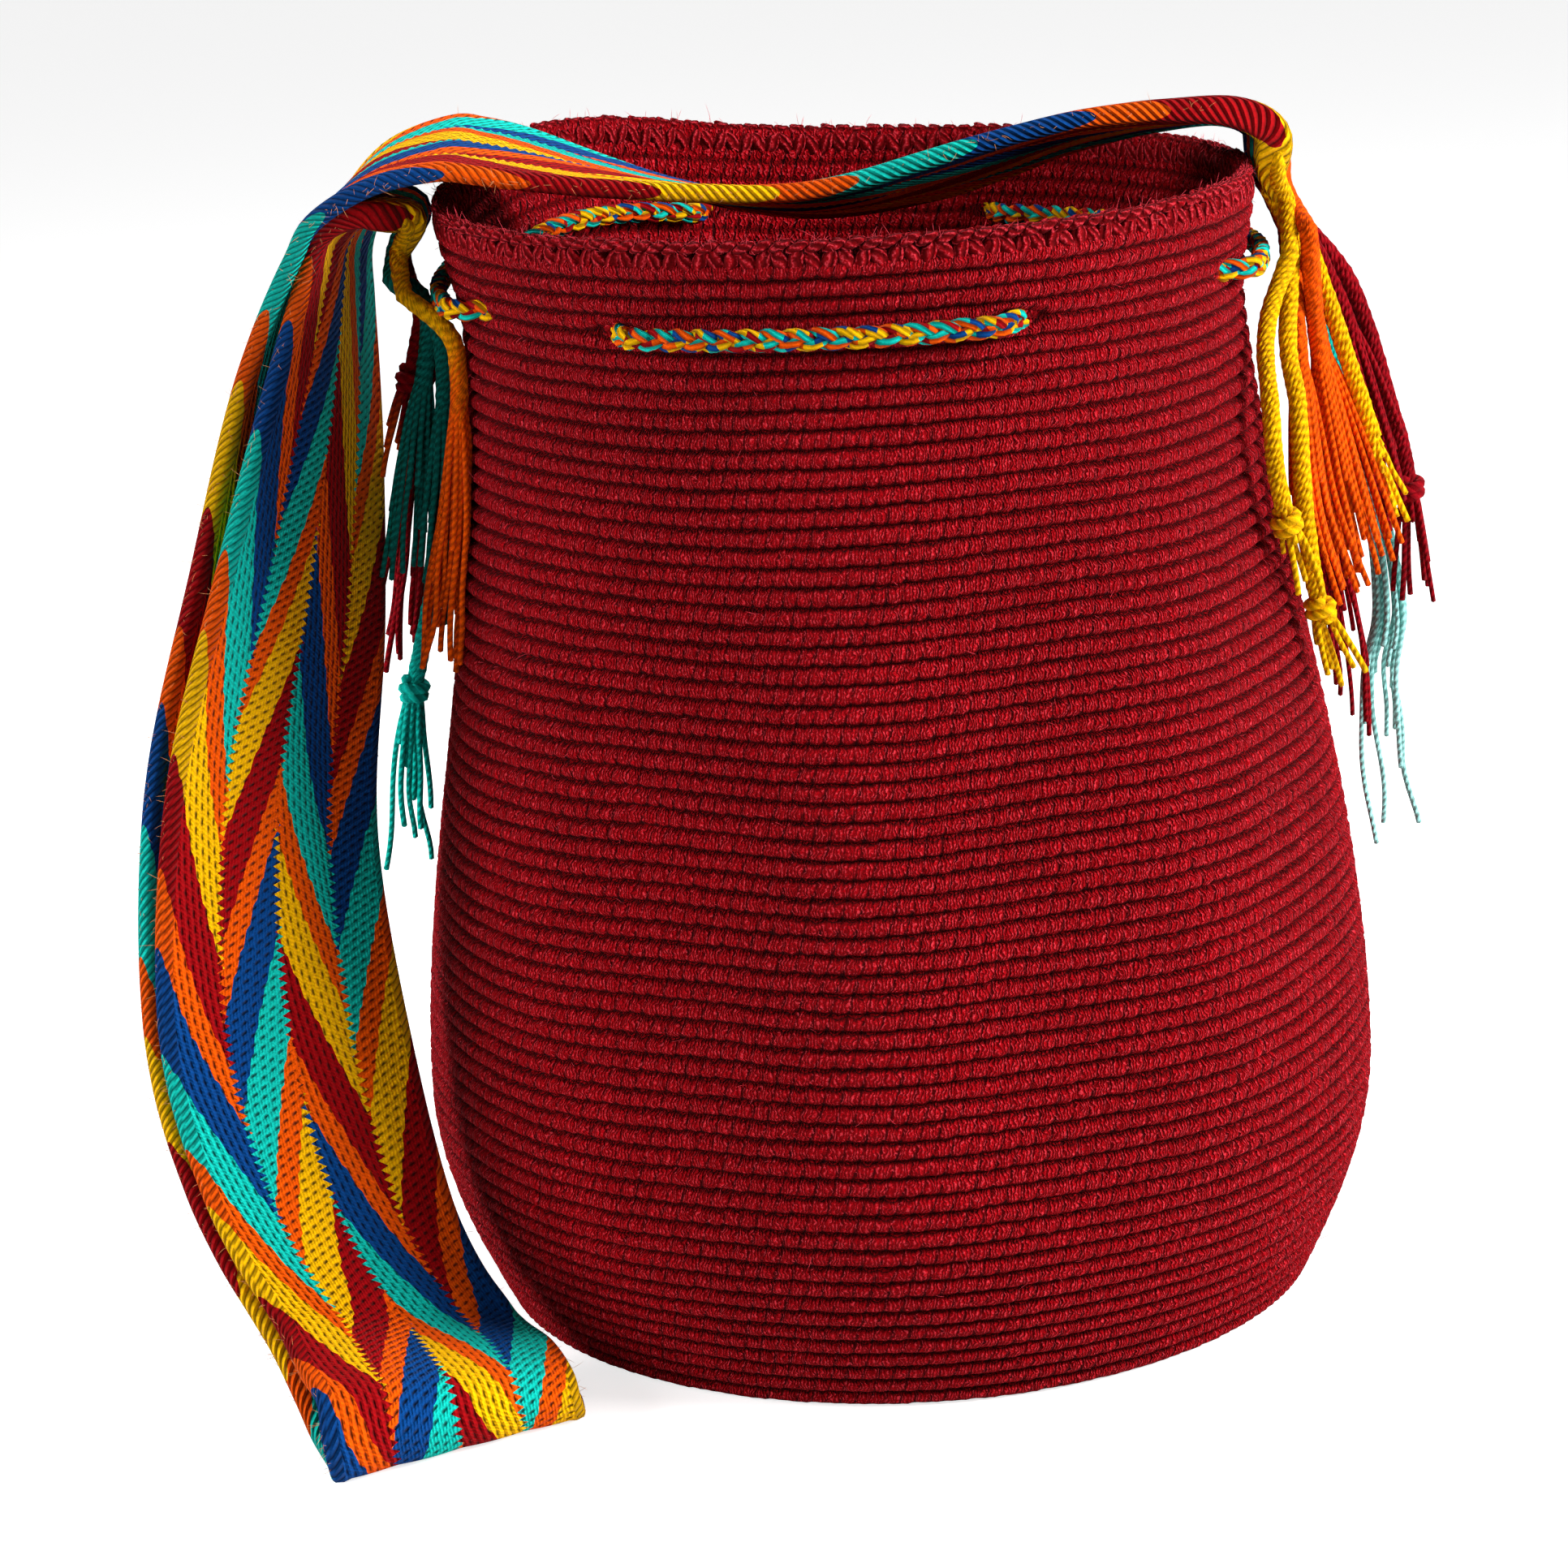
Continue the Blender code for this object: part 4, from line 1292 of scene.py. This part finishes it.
# Each bundle: name, yarn, place in the row, depth, its stops and which of them is its knot.
# A stop is in mm: toward the back, down from the rim and out from the wall.
RIGHT_BUNDLES = [
    ("yellow_1", "yellow", -2, -1,
     [(-28, 45, 4), (-46, 65, 0), (-49, 83, -2), (-47, 99, -2), (-43, 128, -2)], 3),
    ("yellow_2", "yellow", -1, -1,
     [(-22, 51, 10), (-32, 68, 9), (-37, 96, 5), (-34, 128, 3), (-29, 157, 7)], 3),
    ("orange_1", "orange", 0, -1, [(-13, 52, 14), (-20, 80, 11), (-22, 103, 9), (-21, 130, 11)], None),
    ("orange_2", "orange", -2, 1, [(-9, 54, 20), (-11, 87, 20), (-12, 126, 20)], None),
    ("orange_3", "orange", -1, 1, [(-2, 50, 21), (-2, 89, 25), (0, 126, 27)], None),
    ("yellow_3", "yellow", 0, 1, [(-1, 56, 28), (-2, 91, 33), (0, 114, 37)], None),
    ("red_1", "red", 1, 1, [(13, 48, 31), (17, 86, 36), (19, 121, 37)], None),
    ("red_2", "red", 2, 1, [(21, 42, 35), (26, 80, 42), (28, 106, 43), (30, 143, 38)], 2),
    ("red_3", "red", 1, -1, [(14, 57, 16), (20, 103, 15), (24, 145, 15), (24, 188, 10)], None),
    ("turquoise", "paling", 2, -1,
     [(25, 68, 27), (33, 107, 32), (36, 145, 30), (35, 171, 21), (34, 223, 18)], None),
]
LEFT_BUNDLES = [
    ("orange", "sunset", -2.5, 0,
     [(-24, 37, 1), (-29, 60, 0), (-29, 89, 0), (-27, 118, 2), (-27, 135, 2)], None),
    ("teal_1", "teal", -1.5, 0, [(-12, 35, 7), (-15, 70, 7), (-16, 106, 8), (-16, 130, 9)], None),
    ("teal_2", "teal", -0.5, 0, [(-3, 31, 10), (-3, 65, 15), (-2, 89, 17), (-2, 114, 17)], None),
    ("turquoise", "turquoise", 0.5, 0,
     [(5, 40, 7), (8, 76, 8), (8, 110, 9), (6, 147, 13), (4, 174, 12), (4, 208, 8)], 3),
    ("red_1", "ember", 1.5, 0, [(11, 32, 13), (13, 54, 18), (13, 69, 20), (13, 86, 23)], 1),
    ("red_2", "red", 2.5, 0, [(21, 40, 10), (23, 63, 16), (24, 98, 18), (23, 153, 18)], None),
]


def make_fringe():
    pieces = []
    layer = SEWN_THICKNESS / 4
    for seed, (name, yarn, place, depth, stops, knot) in enumerate(RIGHT_BUNDLES):
        root = (place * (SEWN_WIDTH / 5), depth * layer)
        pieces.append(add_bundle("right_" + name, yarn, 1, root, seed - 4.5, stops, knot, seed))
    for seed, (name, yarn, place, depth, stops, knot) in enumerate(LEFT_BUNDLES, start=20):
        root = (place * (SEWN_WIDTH / 6), depth * layer)
        pieces.append(add_bundle("left_" + name, yarn, -1, root, place * 1.7, stops, knot, seed))
    return pieces


fringe = make_fringe()

# %% [markdown]
# ## Fuzz
# Cotton yarn is hairy, and the hairs show wherever an edge stands against the white. They are thin
# curled yarns with three sides, strewn along the rim, over the wall and along the strap's edges.

# %% Fuzz
HAIR = 0.00006
HAIR_BATCH = 50
HAIRS = 900
STRAP_HAIRS = 1100


def add_hair(shape, start, out, length):
    """Adds a curled hair that leaves a surface outward."""
    lean = np.array([random.gauss(0, 0.6) for _ in range(3)])
    bend = np.array([random.gauss(0, 0.7) for _ in range(3)])
    steps = np.linspace(0, 1, 5)[:, None]
    curl = unit(out + lean) * steps + bend * steps ** 2 * 0.6
    add_yarn(shape, start + curl * length, HAIR, sides=3)


def make_fuzz(name, colour, slot, roots):
    """One piece with a hair at each root: a place, the way outward and a length."""
    finish = Finish(name)
    finish.look({"Base Color": (*colour, 1)})
    finished(name, in_batches(roots, HAIR_BATCH, add_hair), finish.material, slot)


def bag_roots():
    """Hairs along the rim, then over the wall."""
    roots = []
    for _ in range(HAIRS):
        angle = either_way(math.pi)
        out = np.array((math.sin(angle) * 0.5, -math.cos(angle) * 0.5, 1.0))
        z = BAG_HEIGHT - random.uniform(-0.0002, 0.004)
        start = bag_point(angle, random.uniform(-0.003, 0), z)
        roots.append((start, out, random.uniform(0.0012, 0.0036)))
    for _ in range(HAIRS):
        angle, z = either_way(math.pi), random.uniform(0.004, BAG_HEIGHT - 0.01)
        out = np.array((math.sin(angle), -math.cos(angle), 0))
        roots.append((bag_point(angle, 0, z), out, random.uniform(0.001, 0.003)))
    return roots


def strap_roots():
    """Hairs along both edges of the strap, but not where it lies on the floor."""
    roots = []
    for _ in range(STRAP_HAIRS):
        index = random.randrange(20, len(strap_line) - 20)
        near, far = strap_line[index, :3], strap_line[index, 3:6]
        across = unit(near - far)
        edge, out = (near, across) if random.random() < 0.7 else (far, -across)
        roots.append((edge - out * 0.001, out, random.uniform(0.0015, 0.0042)))
    return [root for root in roots if root[0][2] > 0.008]


random.seed(12)
make_fuzz("bag_fuzz", HIGHLIGHT_AND_FUZZ_PINK, "bag_yarn", bag_roots())
make_fuzz("strap_fuzz", STRAP_HAIR, "strap_yarn", strap_roots())

# %% [markdown]
# ## Light and floor
# The photo has soft studio light, stronger from the right and from above, on a white ground.
# The camera sees a brighter world than the yarn does, so that the white adds no light to the yarn.

# %% Floor, world and lamps
FLOOR_GLOW = 0.74
WORLD_LIGHT = 0.14
WHITE = (1, 1, 1, 1)
LAMPS_AIM = Vector((0, 0, 0.15))


def make_floor():
    shape = bmesh.new()
    bmesh.ops.create_grid(shape, x_segments=1, y_segments=1, size=6)
    mesh = as_mesh("floor", shape)
    finish = Finish("floor_paper", sheen=0)
    finish.look({"Base Color": (0.82, 0.82, 0.82, 1), "Emission Strength": FLOOR_GLOW})
    seen = finish.node('ShaderNodeLightPath')
    glow = finish.mix(seen, (0, 0, 0), (1, 1, 1))
    finish.tree.links.new(glow.link, finish.shader.inputs["Emission Color"])
    mesh.materials.append(finish.material)
    floor = add_object("floor", mesh)


def background(tree, strength):
    made = tree.nodes.new('ShaderNodeBackground')
    made.inputs["Color"].default_value = WHITE
    made.inputs["Strength"].default_value = strength
    return made.outputs[0]


def make_world():
    world = bpy.data.worlds.new("studio")
    bpy.context.scene.world = world
    world.use_nodes = True
    tree = world.node_tree
    tree.nodes.clear()
    rays = tree.nodes.new('ShaderNodeLightPath').outputs
    seen = tree.nodes.new('ShaderNodeMath')
    seen.operation = 'MAXIMUM'
    mix = tree.nodes.new('ShaderNodeMixShader')
    out = tree.nodes.new('ShaderNodeOutputWorld')
    links = [
        (rays["Is Camera Ray"], seen.inputs[0]),
        (rays["Is Glossy Ray"], seen.inputs[1]),
        (seen.outputs[0], mix.inputs[0]),
        (background(tree, WORLD_LIGHT), mix.inputs[1]),
        (background(tree, 1.0), mix.inputs[2]),
        (mix.outputs[0], out.inputs["Surface"]),
    ]
    for start, end in links:
        tree.links.new(start, end)


def add_lamp(name, place, size, power):
    data = bpy.data.lights.new(name, 'AREA')
    data.shape = 'DISK'
    data.size = size
    data.energy = power
    lamp = add_object(name, data)
    lamp.location = place
    lamp.rotation_mode = 'QUATERNION'
    lamp.rotation_quaternion = (LAMPS_AIM - Vector(place)).to_track_quat('-Z', 'Y')


make_floor()
make_world()
add_lamp("key_right", (1.68, -0.64, 1.05), 0.8, 56)
add_lamp("fill_left", (-1.7, -0.5, 0.7), 1.0, 25)
add_lamp("top_back", (0.1, 0.7, 1.6), 0.9, 14)
print("Lamps and floor made")
